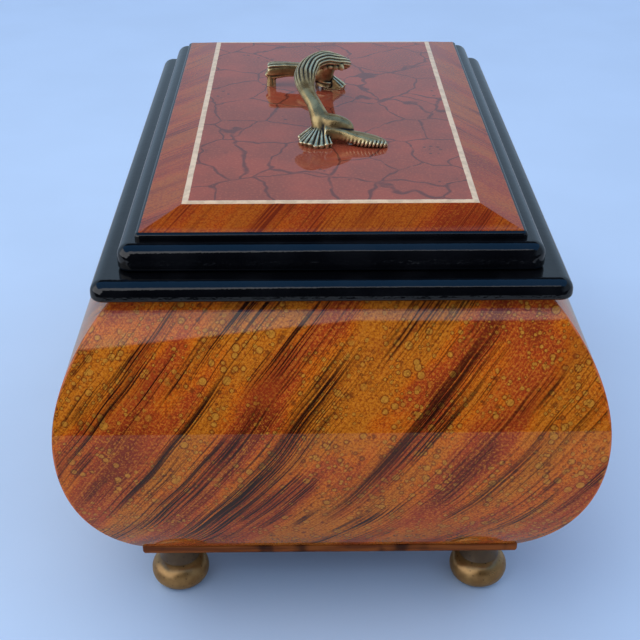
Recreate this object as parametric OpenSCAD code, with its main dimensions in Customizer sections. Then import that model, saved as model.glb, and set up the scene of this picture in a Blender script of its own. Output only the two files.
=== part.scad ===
/* [Case] */
// Width over the lower black moulding
mould_w = 180; // [170:1:220]
// Length over the lower black moulding
mould_l = 280; // [270:1:340]
// Height from the table to the underside of the bottom board
foot_h = 25; // [24:0.5:32]
// Thickness of the bottom board
board_t = 5; // [4:0.5:8]
// How far the bottom board's edge stays inside the lower moulding
board_inset = 9.5; // [8:0.5:11]
// Height of the four bent wall panels
wall_h = 123; // [116:1:140]
// Thickness of the wall panels
wall_t = 7; // [5:0.5:8]
// How far the belly swells out beyond the lower moulding
belly_out = 16.5; // [12:0.5:20]
// Height of the widest line above the bottom board
belly_h = 66; // [58:1:72]
// How far the panels' top and bottom edges stay inside the lower moulding
panel_inset = 9; // [8:0.5:10]
// Greatest diameter of a bun foot
foot_d = 25.2; // [20:0.2:28]
// How far the foot centres stay inside the lower moulding
foot_inset = 23.5; // [21:0.5:30]

/* [Mouldings and lid] */
// Thickness of the lower moulding, the rim of the case
rim_t = 7.6; // [7:0.2:9]
// Gap between the rim and the closed lid
lid_gap = 0.3; // [0.2:0.1:0.6]
// Thickness of the lid's own moulding
lid_t = 10; // [9:0.5:13]
// How far the lid moulding stays inside the rim
lid_inset = 9.6; // [9:0.2:11]
// Radius of the round on the upper edge of both mouldings
nose_top_r = 5; // [4:0.2:5.4]
// Radius of the round on their lower edge
nose_low_r = 1.4; // [0.6:0.2:1.4]
// Radius of the mouldings' corners in plan
corner_r = 5.5; // [5.5:0.5:10]
// Height of the plain black step on the lid moulding
step_h = 2.7; // [2:0.1:4]
// How far the lid's sloped border starts inside the rim
border_inset = 17.7; // [17:0.1:20]
// How far the lid's flat panel stays inside the rim
panel_edge_inset = 34; // [30:0.5:40]
// Height that the sloped border climbs
border_rise = 5.2; // [3:0.2:7]

/* [Handle] */
// Height of the cast pull above the lid
pull_h = 28; // [24:1:34]
// Length of the pull from foot to foot
pull_l = 88; // [80:1:100]
// Place of the pull's centre across and along the lid
pull_centre = [-1.5, -7];
// Length of the long leaf on each foot
leaf_long = 26; // [20:1:30]
// Length of the short leaf on each foot
leaf_short = 12; // [10:1:14]

/* [Hinges] */
// Length of each hinge along its pin
hinge_len = 30; // [24:1:40]
// Distance between the two hinges' middles
hinge_span = 100; // [80:1:110]
// Outer diameter of the hinge knuckles
knuckle_d = 4.6; // [4:0.2:5]
// How far the hinge pins lie behind the lid
pin_behind_lid = 2.9; // [2.8:0.1:3.2]
// Diameter of the hinge pins
hinge_pin_d = 2; // [1.6:0.2:2.4]
// Thickness of the hinge leaves
leaf_t = 1; // [0.8:0.1:1.2]
// How far the leaves reach in from the pin
leaf_depth = 12; // [10:0.5:13]

/* [Lining] */
// Thickness of the velvet-covered card on the walls and floor
lining_t = 1.5; // [1:0.25:2.5]
// Thickness of the padded board inside the lid
lid_pad_t = 4; // [3:0.5:6]
// Width of bare wood round the lid pad
lid_pad_margin = 23; // [22:0.5:30]

/* [Movement housing] */
// Free space between the movement and the housing's walls
housing_room = 2.4; // [2:0.2:4]
// Free height between the movement and the clear window
housing_headroom = 8; // [4:1:20]
// Thickness of the housing's wooden walls
housing_t = 3; // [2.5:0.5:4]
// Distance between the housing and the floor lining's far edge
housing_back_gap = 2.4; // [2:0.2:4]
// Thickness of the clear window over the movement
window_t = 2; // [1.5:0.5:3]

/* [Movement] */
// Tooth module of the crown wheel and its pinion
crown_mod = 0.9; // [0.85:0.01:0.92]
// Teeth of the crown wheel
crown_teeth = 36;
// Teeth of the pinion that the crown wheel drives
pinion_teeth = 12;
// Tooth module of the cylinder wheel and the governor pinion
train_mod = 0.45; // [0.4:0.01:0.46]
// Teeth of the cylinder wheel
wheel_teeth = 36;
// Teeth of the governor pinion
gov_pinion_teeth = 12;
// Tooth module of the worm wheel
worm_mod = 0.5; // [0.48:0.01:0.5]
// Teeth of the worm wheel
worm_teeth = 20;
// Notes of the comb, one track of pins each
notes = 18; // [14:1:18]
// Distance between neighbouring notes
note_pitch = 1.25; // [1.15:0.05:1.3]
// Radius of the pinned cylinder
drum_r = 6.5; // [6:0.1:6.6]
// Diameter of the winding arbor
arbor_d = 4; // [3.5:0.1:4.5]
// Diameter of the spring cup
cup_d = 28; // [24:0.5:28.4]
// Turns of the mainspring
spring_turns = 5; // [4:1:6]
// Width across the winding key's wings
key_w = 26; // [22:1:30]
// Diameter of the stop rod that the lid presses down
rod_d = 2; // [1.6:0.1:2.4]

/* [Hidden] */
$fn = 64;
// Clearances: a shaft that turns, parts glued or pressed together, and parts that pass each other
run_gap = 0.05;
seat_gap = 0.02;
pass_gap = 0.3;
eps = 0.01;

// Heights of the case and the lid
board_z = foot_h;
floor_z = board_z + board_t;
belly_z = floor_z + belly_h;
wall_top = floor_z + wall_h;
rim_top = wall_top + rim_t;
lid_z = rim_top + lid_gap;
step_z = lid_z + lid_t;
border_z = step_z + step_h;
lid_top = border_z + border_rise;

// Arc radii of the wall section, from the belly up and from the belly down
swell = belly_out + panel_inset;
upper_r = (pow(swell, 2) + pow(wall_h - belly_h, 2)) / (2 * swell);
lower_r = (pow(swell, 2) + pow(belly_h, 2)) / (2 * swell);
// Inner face of a wall at height z, measured outwards from the rim's edge
function inner_x(z) = let (r = z > belly_z ? upper_r : lower_r)
    belly_out - r + sqrt(pow(r - wall_t, 2) - pow(z - belly_z, 2));
opening_x = inner_x(wall_top);
floor_edge = inner_x(floor_z + eps) - pass_gap;
reach = mould_l;

// Hinge pin: it lies on the ledge of the rim, behind the lid
pin_y = mould_l / 2 - lid_inset + pin_behind_lid;
pin_z = rim_top - leaf_t + knuckle_d / 2 + pass_gap;
hinge_xs = [-hinge_span / 2, hinge_span / 2];
leaf_y = pin_y - leaf_depth;
hinge_screw_y = leaf_y + leaf_depth * 0.36;
hinge_screw_xs = [-hinge_len * 0.32, 0, hinge_len * 0.32];
hinge_screw_d = 2;
hinge_screw_l = 6;

// Movement: the arbor is the origin of its plan, the drum lies towards +X
bed_t = 2.5;
bed_top = bed_t;
crown_r = crown_mod * crown_teeth / 2;
pinion_r = crown_mod * pinion_teeth / 2;
crown_root = 4.95;
crown_tooth_h = 1.7;
shaft_h = crown_root + pinion_r + 0.95;
pinion_w = 2.4;
shaft_d = 2;
wheel_r = train_mod * wheel_teeth / 2;
gov_r = train_mod * gov_pinion_teeth / 2;
worm_r = worm_mod * worm_teeth / 2;
worm_core = 1.2;
worm_throw = 0.45;
ear_r = 21.2;
ear_boss_h = crown_root + crown_tooth_h + 0.85 - bed_top;
plate_w = bed_top + ear_boss_h;
plate_t = 1;
cup_h = 11;
drum_x = 22.6;
drum_l = notes * note_pitch + 0.8;
wheel_x = drum_x + drum_l + 0.2;
wheel_t = 1.4;
bearing_t = 2.4;
bearing_in_x = 19;
bearing_out_x = wheel_x + wheel_t + 1.2;
pin_out = 0.8;
comb_gap = 0.25;
comb_tip = drum_r + pin_out + comb_gap;
comb_t = 1.2;
comb_back = 26;
comb_root = 18;
gov_v = wheel_r + gov_r;
worm_v = gov_v + worm_r + worm_core + 0.1;
gov_wheel_x = wheel_x + 2.6;
gov_wheel_t = 1.6;
spindle_x = gov_wheel_x + gov_wheel_t / 2;
frame_x0 = wheel_x - 2.8;
frame_x1 = gov_wheel_x + gov_wheel_t + 1;
frame_t = 1.5;
frame_top = 16.6;
fly_r = 5;
fly_w = 18.4;
fly_h = 5;
lever_x = frame_x1 + frame_t + 0.3;
lever_t = 1;
lever_v = worm_v + 7.4;
lever_w = 22.5;
lever_arm = 6.5;
rod_v = lever_v + lever_arm;
bed_x0 = -ear_r - 3;
bed_x1 = lever_x + 2;
bed_v0 = -comb_back;
bed_v1 = lever_v + 3;
arbor_x = -(bed_x0 + bed_x1) / 2;
housing_y1 = mould_l / 2 + floor_edge - housing_back_gap - housing_t;
rod_y = housing_y1 - housing_room;
arbor_y = rod_y - rod_v;
housing_y0 = arbor_y + bed_v0 - housing_room;
housing_d = housing_y1 - housing_y0;
housing_w = bed_x1 - bed_x0 + 2 * housing_room;
housing_h = lever_w + 1.6 + housing_headroom + window_t;
rod_x = arbor_x + lever_x + lever_t / 2;
rod_foot = floor_z + lever_w + 1.4;
rod_hole_r = rod_d / 2 + 0.08;
bracket_z = wall_top - 3;
bracket_t = 1.2;

// Places a shape of the movement on the floor, at the winding arbor
module at_movement() translate([arbor_x, arbor_y, floor_z]) children();
// Lays a shape's +Z along +X at a height above the floor and a distance beside the arbor
module along_x(x, v, w) translate([x, v, w]) rotate([0, 90, 0]) rotate([0, 0, 90]) children();

module rod(d, h) cylinder(d = d, h = h);
module ring(outer_d, inner_d, h) difference() {
    cylinder(d = outer_d, h = h);
    translate([0, 0, -1]) cylinder(d = inner_d, h = h + 2);
}

/* Case */

// Disc-like area under the wall's outer curve, grown or shrunk by one distance
module belly_area(grow) {
    intersection() {
        translate([belly_out - upper_r, belly_z]) circle(upper_r + grow, $fn = 180);
        translate([-reach, belly_z]) square([2 * reach, reach]);
    }
    intersection() {
        translate([belly_out - lower_r, belly_z]) circle(lower_r + grow, $fn = 180);
        translate([-reach, belly_z - reach]) square([2 * reach, reach]);
    }
}
// Section of a bent panel from z0 to z1, between two depths under the outer curve
module bent_section(depth, t, z0, z1) intersection() {
    difference() {
        belly_area(-depth);
        belly_area(-depth - t);
    }
    translate([-upper_r / 2, z0]) square([upper_r, z1 - z0]);
}
// One side's panel of that section, mitred at both ends; half is the rim's half size across it
module bent_side(turn, half, half_along, depth, t, z0, z1) rotate([0, 0, turn]) intersection() {
    translate([half, reach, 0]) rotate([90, 0, 0])
        linear_extrude(2 * reach) bent_section(depth, t, z0, z1);
    translate([half - half_along, 0, 0]) linear_extrude(lid_top)
        polygon([[0, 0], [reach, reach], [reach, -reach]]);
}
module wall_panel(turn, half, half_along)
    color("peru") bent_side(turn, half, half_along, 0, wall_t, floor_z, wall_top);
module case_front() wall_panel(-90, mould_l / 2, mould_w / 2);
module case_back() wall_panel(90, mould_l / 2, mould_w / 2);
module case_left() wall_panel(180, mould_w / 2, mould_l / 2);
module case_right() wall_panel(0, mould_w / 2, mould_l / 2);

module bottom_board() color("saddlebrown") difference() {
    translate([0, 0, board_z + board_t / 2])
        cube([mould_w - 2 * board_inset, mould_l - 2 * board_inset, board_t], center = true);
    translate([arbor_x, arbor_y, board_z - 1]) cylinder(d = arbor_d + 4, h = board_t + 2);
    at_movement() for (p = bed_holes) translate([p[0], p[1], -board_t - 1]) cylinder(d = 3.4, h = board_t + 2);
    for (x = [-1, 1], y = [-1, 1]) translate([x * foot_x, y * foot_y, board_z - 1])
        cylinder(d = foot_screw_d + 2 * seat_gap, h = board_t + 2);
}

/* Feet */

foot_x = mould_w / 2 - foot_inset;
foot_y = mould_l / 2 - foot_inset;
foot_screw_d = 3.5;
bun_h = foot_h * 0.55;
bun_sink = 0.8;
neck_d = foot_d * 0.66;
collar_h = 2.4;
// A flattened ball with a flat sole, under a short waisted neck
module bun_foot(sx, sy) color("darkgoldenrod") translate([sx * foot_x, sy * foot_y, 0]) difference() {
    rotate_extrude() {
        intersection() {
            translate([foot_d / 2 - bun_h / 2, bun_h / 2 - bun_sink]) circle(bun_h / 2);
            square([foot_d, bun_h]);
        }
        square([foot_d / 2 - bun_h / 2, bun_h - bun_sink]);
        square([neck_d / 2, foot_h - collar_h / 2]);
        translate([0, foot_h - collar_h]) square([neck_d / 2 + 1.6, collar_h]);
    }
    translate([0, 0, foot_h - 12]) cylinder(d = foot_screw_d + 2 * seat_gap, h = 13);
}
module foot_front_left() bun_foot(-1, -1);
module foot_front_right() bun_foot(1, -1);
module foot_back_left() bun_foot(-1, 1);
module foot_back_right() bun_foot(1, 1);
// Screws driven down through the board, their heads sunk in the floor
module foot_screws() color("silver") for (x = [-1, 1], y = [-1, 1])
    translate([x * foot_x, y * foot_y, foot_h - 11.5]) rod(foot_screw_d, board_t + 11.5 - 0.2);

/* Rim and lid */

// Plan of a plate with round corners
module round_plan(w, l, r) {
    square([w - 2 * r, l], center = true);
    square([w, l - 2 * r], center = true);
    for (x = [-1, 1], y = [-1, 1]) translate([x * (w / 2 - r), y * (l / 2 - r)]) circle(r);
}
// Edge of a moulding in section: a large round above, a small one below, r deep
module nose_section(t, r, top_r, low_r) {
    square([r - top_r, t]);
    translate([0, low_r]) square([r, t - top_r - low_r]);
    square([r - low_r, low_r]);
    intersection() {
        translate([r - low_r, low_r]) circle(low_r);
        translate([r - low_r, 0]) square(low_r);
    }
    intersection() {
        translate([r - top_r, t - top_r]) circle(top_r);
        translate([r - top_r, t - top_r]) square(top_r);
    }
}
module nosed_edge(half, len, t, r, top_r, low_r) translate([half - r, len / 2, 0]) rotate([90, 0, 0])
    linear_extrude(len) nose_section(t, r, top_r, low_r);
// Board with rounded edges all round, its corners of radius r in plan
module nosed_board(w, l, t, r = corner_r, top_r = nose_top_r, low_r = nose_low_r) {
    linear_extrude(t) square([w - 2 * r, l - 2 * r], center = true);
    for (turn = [0, 180]) rotate([0, 0, turn]) nosed_edge(w / 2, l - 2 * r, t, r, top_r, low_r);
    for (turn = [90, 270]) rotate([0, 0, turn]) nosed_edge(l / 2, w - 2 * r, t, r, top_r, low_r);
    for (x = [0, 1], y = [0, 1]) mirror([x, 0, 0]) mirror([0, y, 0])
        translate([w / 2 - r, l / 2 - r, 0]) rotate_extrude(angle = 90) nose_section(t, r, top_r, low_r);
}
module hinge_screw_holes(z) for (x = hinge_xs, dx = hinge_screw_xs)
    translate([x + dx, hinge_screw_y, z]) cylinder(d = hinge_screw_d + 2 * seat_gap, h = hinge_screw_l);

module rim_moulding() color("black") difference() {
    translate([0, 0, wall_top]) nosed_board(mould_w, mould_l, rim_t);
    translate([0, 0, wall_top - 1]) linear_extrude(rim_t + 2)
        square([mould_w + 2 * opening_x, mould_l + 2 * opening_x], center = true);
    for (x = hinge_xs) translate([x - hinge_len / 2 - seat_gap, leaf_y - seat_gap, rim_top - leaf_t])
        cube([hinge_len + 2 * seat_gap, pin_y - leaf_y + knuckle_d / 2 + pass_gap, leaf_t + 1]);
    for (x = hinge_xs) translate([x - knuckle_gap / 2, pin_y - knuckle_d / 2 - pass_gap, rim_top - leaf_t - pass_gap])
        cube([knuckle_gap, knuckle_d + 2 * pass_gap, leaf_t + 1]);
    hinge_screw_holes(rim_top - leaf_t - hinge_screw_l + 1);
    translate([rod_x, mould_l / 2 + opening_x - eps, wall_top + rim_t / 2]) rotate([-90, 0, 0])
        for (dx = bracket_screw_xs) translate([dx, 0, 0]) cylinder(d = bracket_screw_d + 2 * seat_gap, h = 7);
}

lid_w = mould_w - 2 * lid_inset;
lid_l = mould_l - 2 * lid_inset;
crown_w = mould_w - 2 * border_inset;
crown_l = mould_l - 2 * border_inset;
panel_w = mould_w - 2 * panel_edge_inset;
panel_l = mould_l - 2 * panel_edge_inset;
pad_w = lid_w - 2 * lid_pad_margin;
pad_l = lid_l - 2 * lid_pad_margin;
pad_recess = lid_pad_t + pass_gap;
module lid_moulding() color("black") difference() {
    union() {
        translate([0, 0, lid_z]) nosed_board(lid_w, lid_l, lid_t);
        translate([0, 0, step_z - step_sunk])
            nosed_board(crown_w + 2 * step_ledge, crown_l + 2 * step_ledge, step_h + step_sunk, step_corner_r,
                step_nose_r, step_sunk);
    }
    translate([0, 0, lid_z - 1]) linear_extrude(pad_recess + 1)
        round_plan(pad_w + 2 * pass_gap, pad_l + 2 * pass_gap, pad_r);
    for (x = hinge_xs) translate([x - hinge_len / 2 - seat_gap, leaf_y - seat_gap, lid_z - 1])
        cube([hinge_len + 2 * seat_gap, leaf_depth + knuckle_d, leaf_t + 1]);
    hinge_screw_holes(lid_z + leaf_t - 1);
    for (s = [-1, 1]) {
        at_pull_screw(s, lid_z) cylinder(d = pull_screw_d + 2 * seat_gap, h = lid_top);
        at_pull_screw(s, lid_z) cylinder(d = pull_head_d + 1, h = pad_recess + pull_head_h + pass_gap);
    }
}
step_ledge = 1.5;
step_corner_r = 2;
step_nose_r = 1.4;
// The step starts this deep in the board, so that its own low round is buried
step_sunk = 0.5;
pad_r = 4;

// Section of the bevelled board for one of its two sizes
module bevel_section(w, flat_w) polygon([[-w / 2, 0], [w / 2, 0], [flat_w / 2, border_rise], [-flat_w / 2, border_rise]]);
module lid_crown() color("firebrick") difference() {
    translate([0, 0, border_z]) intersection() {
        rotate([90, 0, 0]) linear_extrude(reach, center = true) bevel_section(crown_w, panel_w);
        rotate([90, 0, 90]) linear_extrude(reach, center = true) bevel_section(crown_l, panel_l);
    }
    for (s = [-1, 1]) at_pull_screw(s, border_z - 1) cylinder(d = pull_screw_d + 2 * seat_gap, h = border_rise + 2);
}

/* Handle */

pull_screw_d = 4;
pull_head_d = 7;
pull_head_h = 2;
foot_bar = 7;
pull_reach = pull_l / 2 - foot_bar;
stem_low = 7.5;
stem_r = 3.4;
stem_top = pull_h - 0.8 * stem_r;
stem_sway = 9.5;
module at_pull_screw(s, z)
    translate([pull_centre[0], pull_centre[1] + s * pull_reach, z]) children();
// Middle line of the stem; t runs from -1 at the near foot to 1 at the far foot
function stem_at(t) = [
    sign(t) * stem_sway * sin(180 * pow(abs(t), 0.6)),
    t * pull_reach,
    stem_low + (stem_top - stem_low) * (1 - pow(abs(t), 1.4))
];
function stem_width(t) = stem_r * (1 + 0.45 * pow(cos(90 * t), 2) - 0.25 * pow(sin(180 * abs(t)), 2));
function unit(v) = v / norm(v);
ring_sides = 12;
stem_rings = 28;
function stem_ring(t) = let (
    along = unit(stem_at(t + 0.02) - stem_at(t - 0.02)),
    across = unit(cross(along, [0, 0, 1])),
    over = cross(across, along)
) [for (k = [0 : ring_sides - 1]) let (a = 360 * k / ring_sides)
    stem_at(t) + stem_width(t) * cos(a) * across + 0.85 * stem_r * sin(a) * over];
module stem() {
    rings = [for (k = [0 : stem_rings]) stem_ring(-0.98 + 1.96 * k / stem_rings)];
    n = ring_sides;
    polyhedron(
        points = [for (r = rings) for (p = r) p],
        faces = concat(
            [[for (k = [n - 1 : -1 : 0]) k]],
            [for (j = [0 : stem_rings - 1], k = [0 : n - 1]) let (a = j * n + k, b = j * n + (k + 1) % n)
                [a, b, b + n, a + n]],
            [[for (k = [0 : n - 1]) stem_rings * n + k]]
        ), convexity = 6
    );
}
// Foot with a long leaf to one side and a short fan to the other, cut flat below
module pull_foot() translate([0, -pull_reach, 0]) intersection() {
    union() {
        hull() {
            translate([0, 0, stem_low - 1]) sphere(stem_r + 0.8, $fn = 20);
            translate([0, 0, 0]) cylinder(r = stem_r + 1.4, h = 1, $fn = 20);
        }
        hull() {
            translate([0, -1, 2]) sphere(stem_r + 1, $fn = 20);
            translate([leaf_long - 1.5, -3, 1.5]) sphere(2, $fn = 20);
            translate([leaf_long * 0.6, -2, 3.5]) sphere(3, $fn = 20);
        }
        hull() {
            translate([0, -1, 2]) sphere(stem_r + 1, $fn = 20);
            translate([2 - leaf_short, -2, 1.5]) sphere(3, $fn = 20);
        }
    }
    translate([-reach, -foot_bar, 0]) cube([2 * reach, reach, reach]);
}
module handle() color("darkkhaki") translate([pull_centre[0], pull_centre[1], lid_top]) {
    stem();
    for (turn = [0, 180]) rotate([0, 0, turn]) pull_foot();
}
module handle_screws() color("gray") for (s = [-1, 1]) {
    at_pull_screw(s, lid_z + pad_recess + pass_gap) cylinder(d = pull_head_d, h = pull_head_h);
    at_pull_screw(s, lid_z + pad_recess + pass_gap) cylinder(d = pull_screw_d, h = lid_top + 5 - lid_z - pad_recess - pass_gap);
}
module lid_pad() color("maroon") translate([0, 0, lid_z]) linear_extrude(lid_pad_t) round_plan(pad_w, pad_l, pad_r);

/* Hinges */

knuckle_gap = hinge_len * 0.4;
module hinge_leaf(x, z) difference() {
    translate([x - hinge_len / 2, leaf_y, z]) cube([hinge_len, leaf_depth, leaf_t]);
    for (dx = hinge_screw_xs) translate([x + dx, hinge_screw_y, z - 1])
        cylinder(d = hinge_screw_d + 2 * seat_gap, h = leaf_t + 2);
}
module knuckle(x, len, gap) translate([x, pin_y, pin_z]) rotate([0, 90, 0])
    ring(knuckle_d, hinge_pin_d + 2 * gap, len);
module rim_hinge_leaves() color("goldenrod") for (x = hinge_xs) {
    difference() {
        union() {
            hinge_leaf(x, rim_top - leaf_t);
            for (x0 = [x - hinge_len / 2, x + knuckle_gap / 2]) {
                translate([x0, pin_y - knuckle_d / 2, rim_top - leaf_t])
                    cube([hinge_len / 2 - knuckle_gap / 2, knuckle_d / 2, leaf_t]);
                translate([x0, pin_y, pin_z]) rotate([0, 90, 0])
                    cylinder(d = knuckle_d, h = hinge_len / 2 - knuckle_gap / 2);
                translate([x0, pin_y - leaf_t / 2, rim_top - leaf_t])
                    cube([hinge_len / 2 - knuckle_gap / 2, leaf_t, leaf_t + 0.5]);
            }
        }
        translate([x - hinge_len, pin_y, pin_z]) rotate([0, 90, 0])
            cylinder(d = hinge_pin_d + 2 * seat_gap, h = 2 * hinge_len);
        translate([x - knuckle_gap / 2, pin_y - knuckle_d / 2 - pass_gap, rim_top - leaf_t - 1])
            cube([knuckle_gap, knuckle_d + 1, leaf_t + knuckle_d]);
    }
}
module lid_hinge_leaves() color("goldenrod") for (x = hinge_xs) {
    difference() {
        union() {
            translate([0, 0, lid_z]) translate([x - hinge_len / 2, leaf_y, 0])
                cube([hinge_len, leaf_depth - knuckle_d / 2 - pass_gap, leaf_t]);
            translate([x - knuckle_gap / 2 + pass_gap, leaf_y, lid_z])
                cube([knuckle_gap - 2 * pass_gap, leaf_depth, leaf_t]);
            translate([x - knuckle_gap / 2 + pass_gap, pin_y, pin_z]) rotate([0, 90, 0])
                cylinder(d = knuckle_d, h = knuckle_gap - 2 * pass_gap);
        }
        translate([x - hinge_len, pin_y, pin_z]) rotate([0, 90, 0])
            cylinder(d = hinge_pin_d + 2 * run_gap, h = 2 * hinge_len);
        for (dx = hinge_screw_xs) translate([x + dx, hinge_screw_y, lid_z - 1])
            cylinder(d = hinge_screw_d + 2 * seat_gap, h = leaf_t + 2);
    }
}
module hinge_pins() color("gold") for (x = hinge_xs)
    translate([x - hinge_len / 2, pin_y, pin_z]) rotate([0, 90, 0]) rod(hinge_pin_d, hinge_len);
// Flush screws whose heads fill the leaf's thickness
module rim_hinge_screws() color("goldenrod") for (x = hinge_xs, dx = hinge_screw_xs)
    translate([x + dx, hinge_screw_y, rim_top - leaf_t - hinge_screw_l + 1.2]) rod(hinge_screw_d, hinge_screw_l - 0.3);
module lid_hinge_screws() color("goldenrod") for (x = hinge_xs, dx = hinge_screw_xs)
    translate([x + dx, hinge_screw_y, lid_z + 0.1]) rod(hinge_screw_d, hinge_screw_l - 0.3);

/* Linings */

lining_z0 = floor_z + lining_t + 0.2;
lining_z1 = wall_top - 0.5;
module wall_lining(turn, half, half_along) color("maroon")
    bent_side(turn, half, half_along, wall_t + 0.1, lining_t, lining_z0, lining_z1);
module lining_front() wall_lining(-90, mould_l / 2, mould_w / 2);
module lining_back() wall_lining(90, mould_l / 2, mould_w / 2);
module lining_left() wall_lining(180, mould_w / 2, mould_l / 2);
module lining_right() wall_lining(0, mould_w / 2, mould_l / 2);
module floor_lining() color("maroon") difference() {
    translate([0, 0, floor_z + lining_t / 2])
        cube([mould_w + 2 * floor_edge, mould_l + 2 * floor_edge, lining_t], center = true);
    translate([-housing_w / 2 - housing_t - 0.2, housing_y0 - housing_t - 0.2, floor_z - 1])
        cube([housing_w + 2 * housing_t + 0.4, housing_d + 2 * housing_t + 0.4, lining_t + 2]);
}

/* Movement housing */

rebate = 1.5;
module movement_housing() color("sienna") difference() {
    translate([-housing_w / 2 - housing_t, housing_y0 - housing_t, floor_z])
        cube([housing_w + 2 * housing_t, housing_d + 2 * housing_t, housing_h]);
    translate([-housing_w / 2, housing_y0, floor_z - 1]) cube([housing_w, housing_d, housing_h + 2]);
    translate([-housing_w / 2 - rebate, housing_y0 - rebate, floor_z + housing_h - window_t])
        cube([housing_w + 2 * rebate, housing_d + 2 * rebate, window_t + 1]);
}
module movement_window() color([0.8, 0.9, 0.95, 0.4]) difference() {
    translate([-housing_w / 2 - rebate + 0.1, housing_y0 - rebate + 0.1, floor_z + housing_h - window_t])
        cube([housing_w + 2 * rebate - 0.2, housing_d + 2 * rebate - 0.2, window_t]);
    translate([rod_x, rod_y, floor_z]) cylinder(r = rod_hole_r, h = housing_h + 1);
}

/* Movement: bedplate, spring and winding key */

bed_holes = [[-19, -20], [bed_x1 - 4, -21], [6, bed_v1 - 5]];
bed_screw_d = 3;
bed_screw_head = [5.5, 1.8];
ear_screw_grip = 4.5;
ear_turns = [90, 180, 270];
ear_screw_d = 2;
comb_screw_xs = [drum_x + drum_l * 0.2, drum_x + drum_l * 0.8];
comb_screw_v = -comb_back + 3.5;
comb_w = drum_l;
comb_base_h = shaft_h - comb_t / 2;
gov_screw_places = [[frame_x0 - 2.6, gov_v + 1], [frame_x0 - 2.6, worm_v + 4]];
module bedplate() color("silver") at_movement() difference() {
    union() {
        translate([bed_x0, bed_v0, 0]) cube([bed_x1 - bed_x0, bed_v1 - bed_v0, bed_t]);
        for (a = ear_turns) rotate([0, 0, a]) translate([ear_r, 0, bed_top - eps])
            cylinder(d = 4.4, h = ear_boss_h + eps);
        translate([drum_x, -comb_back, bed_top - eps])
            cube([comb_w, comb_back - comb_root, comb_base_h - bed_top + eps]);
    }
    translate([0, 0, -1]) cylinder(d = arbor_d + 2 * run_gap, h = bed_t + 2);
    for (p = bed_holes) translate([p[0], p[1], -1]) cylinder(d = bed_screw_d + 2 * seat_gap, h = bed_t + 2);
    for (a = ear_turns) rotate([0, 0, a]) translate([ear_r, 0, plate_w - ear_screw_grip - 0.5])
        cylinder(d = ear_screw_d + 2 * seat_gap, h = ear_screw_grip + 1);
    for (x = comb_screw_xs) translate([x, comb_screw_v, comb_base_h - 5])
        cylinder(d = 2.5 + 2 * seat_gap, h = 6);
    for (p = gov_screw_places) translate([p[0], p[1], -1]) cylinder(d = 2 + 2 * seat_gap, h = bed_t + 2);
    for (x = bearing_screw_xs) translate([x, 0, -1]) cylinder(d = 2 + 2 * seat_gap, h = bed_t + 2);
}
// Screws from under the bottom board into the bedplate
module movement_screws() color("gray") at_movement() for (p = bed_holes)
    translate([p[0], p[1], -board_t - bed_screw_head[1]]) {
        cylinder(d = bed_screw_head[0], h = bed_screw_head[1] - seat_gap);
        cylinder(d = bed_screw_d, h = board_t + bed_screw_head[1] + bed_t);
    }

module spring_plate() color("lightgray") at_movement() translate([0, 0, plate_w]) difference() {
    union() {
        cylinder(d = cup_d + 1.6, h = plate_t);
        for (a = ear_turns) rotate([0, 0, a]) {
            translate([0, -2.2, 0]) cube([ear_r, 4.4, plate_t]);
            translate([ear_r, 0, 0]) cylinder(d = 4.4, h = plate_t);
        }
    }
    translate([0, 0, -1]) cylinder(d = arbor_d + 2 * run_gap, h = plate_t + 2);
    for (a = ear_turns) rotate([0, 0, a]) translate([ear_r, 0, -1])
        cylinder(d = ear_screw_d + 2 * seat_gap, h = plate_t + 2);
}
module spring_plate_screws() color("gray") at_movement() for (a = ear_turns)
    rotate([0, 0, a]) translate([ear_r, 0, plate_w - ear_screw_grip]) {
        rod(ear_screw_d, ear_screw_grip + plate_t + 1);
        translate([0, 0, ear_screw_grip + plate_t]) rod(3.8, 1.2);
    }
cup_t = 0.8;
cup_w = plate_w + plate_t;
module spring_cup() color("lightgray") at_movement() translate([0, 0, cup_w]) difference() {
    cylinder(d = cup_d, h = cup_h);
    translate([0, 0, -1]) cylinder(d = cup_d - 2 * cup_t, h = cup_h + 1 - cup_t);
    cylinder(d = arbor_d + 2 * run_gap, h = cup_h + 1);
}
// Flat spiral strip from the arbor out to the cup's wall
spring_t = 0.35;
spring_r0 = arbor_d / 2 + pass_gap;
spring_r1 = cup_d / 2 - cup_t - 0.05 - spring_t;
spiral_steps = 20;
function spiral(k, out) = let (a = 360 * k / spiral_steps,
    r = spring_r0 + (spring_r1 - spring_r0) * k / (spiral_steps * spring_turns) + out)
    [r * cos(a), r * sin(a)];
module mainspring() color("steelblue") at_movement() translate([0, 0, cup_w + 0.4])
    linear_extrude(cup_h - cup_t - 0.8) polygon(concat(
        [for (k = [0 : spiral_steps * spring_turns]) spiral(k, 0)],
        [for (k = [spiral_steps * spring_turns : -1 : 0]) spiral(k, spring_t)]
    ));

key_top = board_z - 1.5;
key_hub_h = 10;
key_wing_h = 11;
key_t = 2.4;
key_hub_d = arbor_d + 3;
arbor_foot = key_top - key_hub_h + 1;
module winding_arbor() color("silver") translate([arbor_x, arbor_y, arbor_foot])
    rod(arbor_d, floor_z + cup_w + cup_h + 1 - arbor_foot);
module winding_key() color("gold") translate([arbor_x, arbor_y, key_top - key_hub_h]) difference() {
    union() {
        rod(key_hub_d, key_hub_h);
        rotate([90, 0, 0]) translate([0, 0, -key_t / 2]) linear_extrude(key_t) key_outline();
    }
    cylinder(d = arbor_d + 2 * seat_gap, h = key_hub_h + 1);
}
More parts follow.
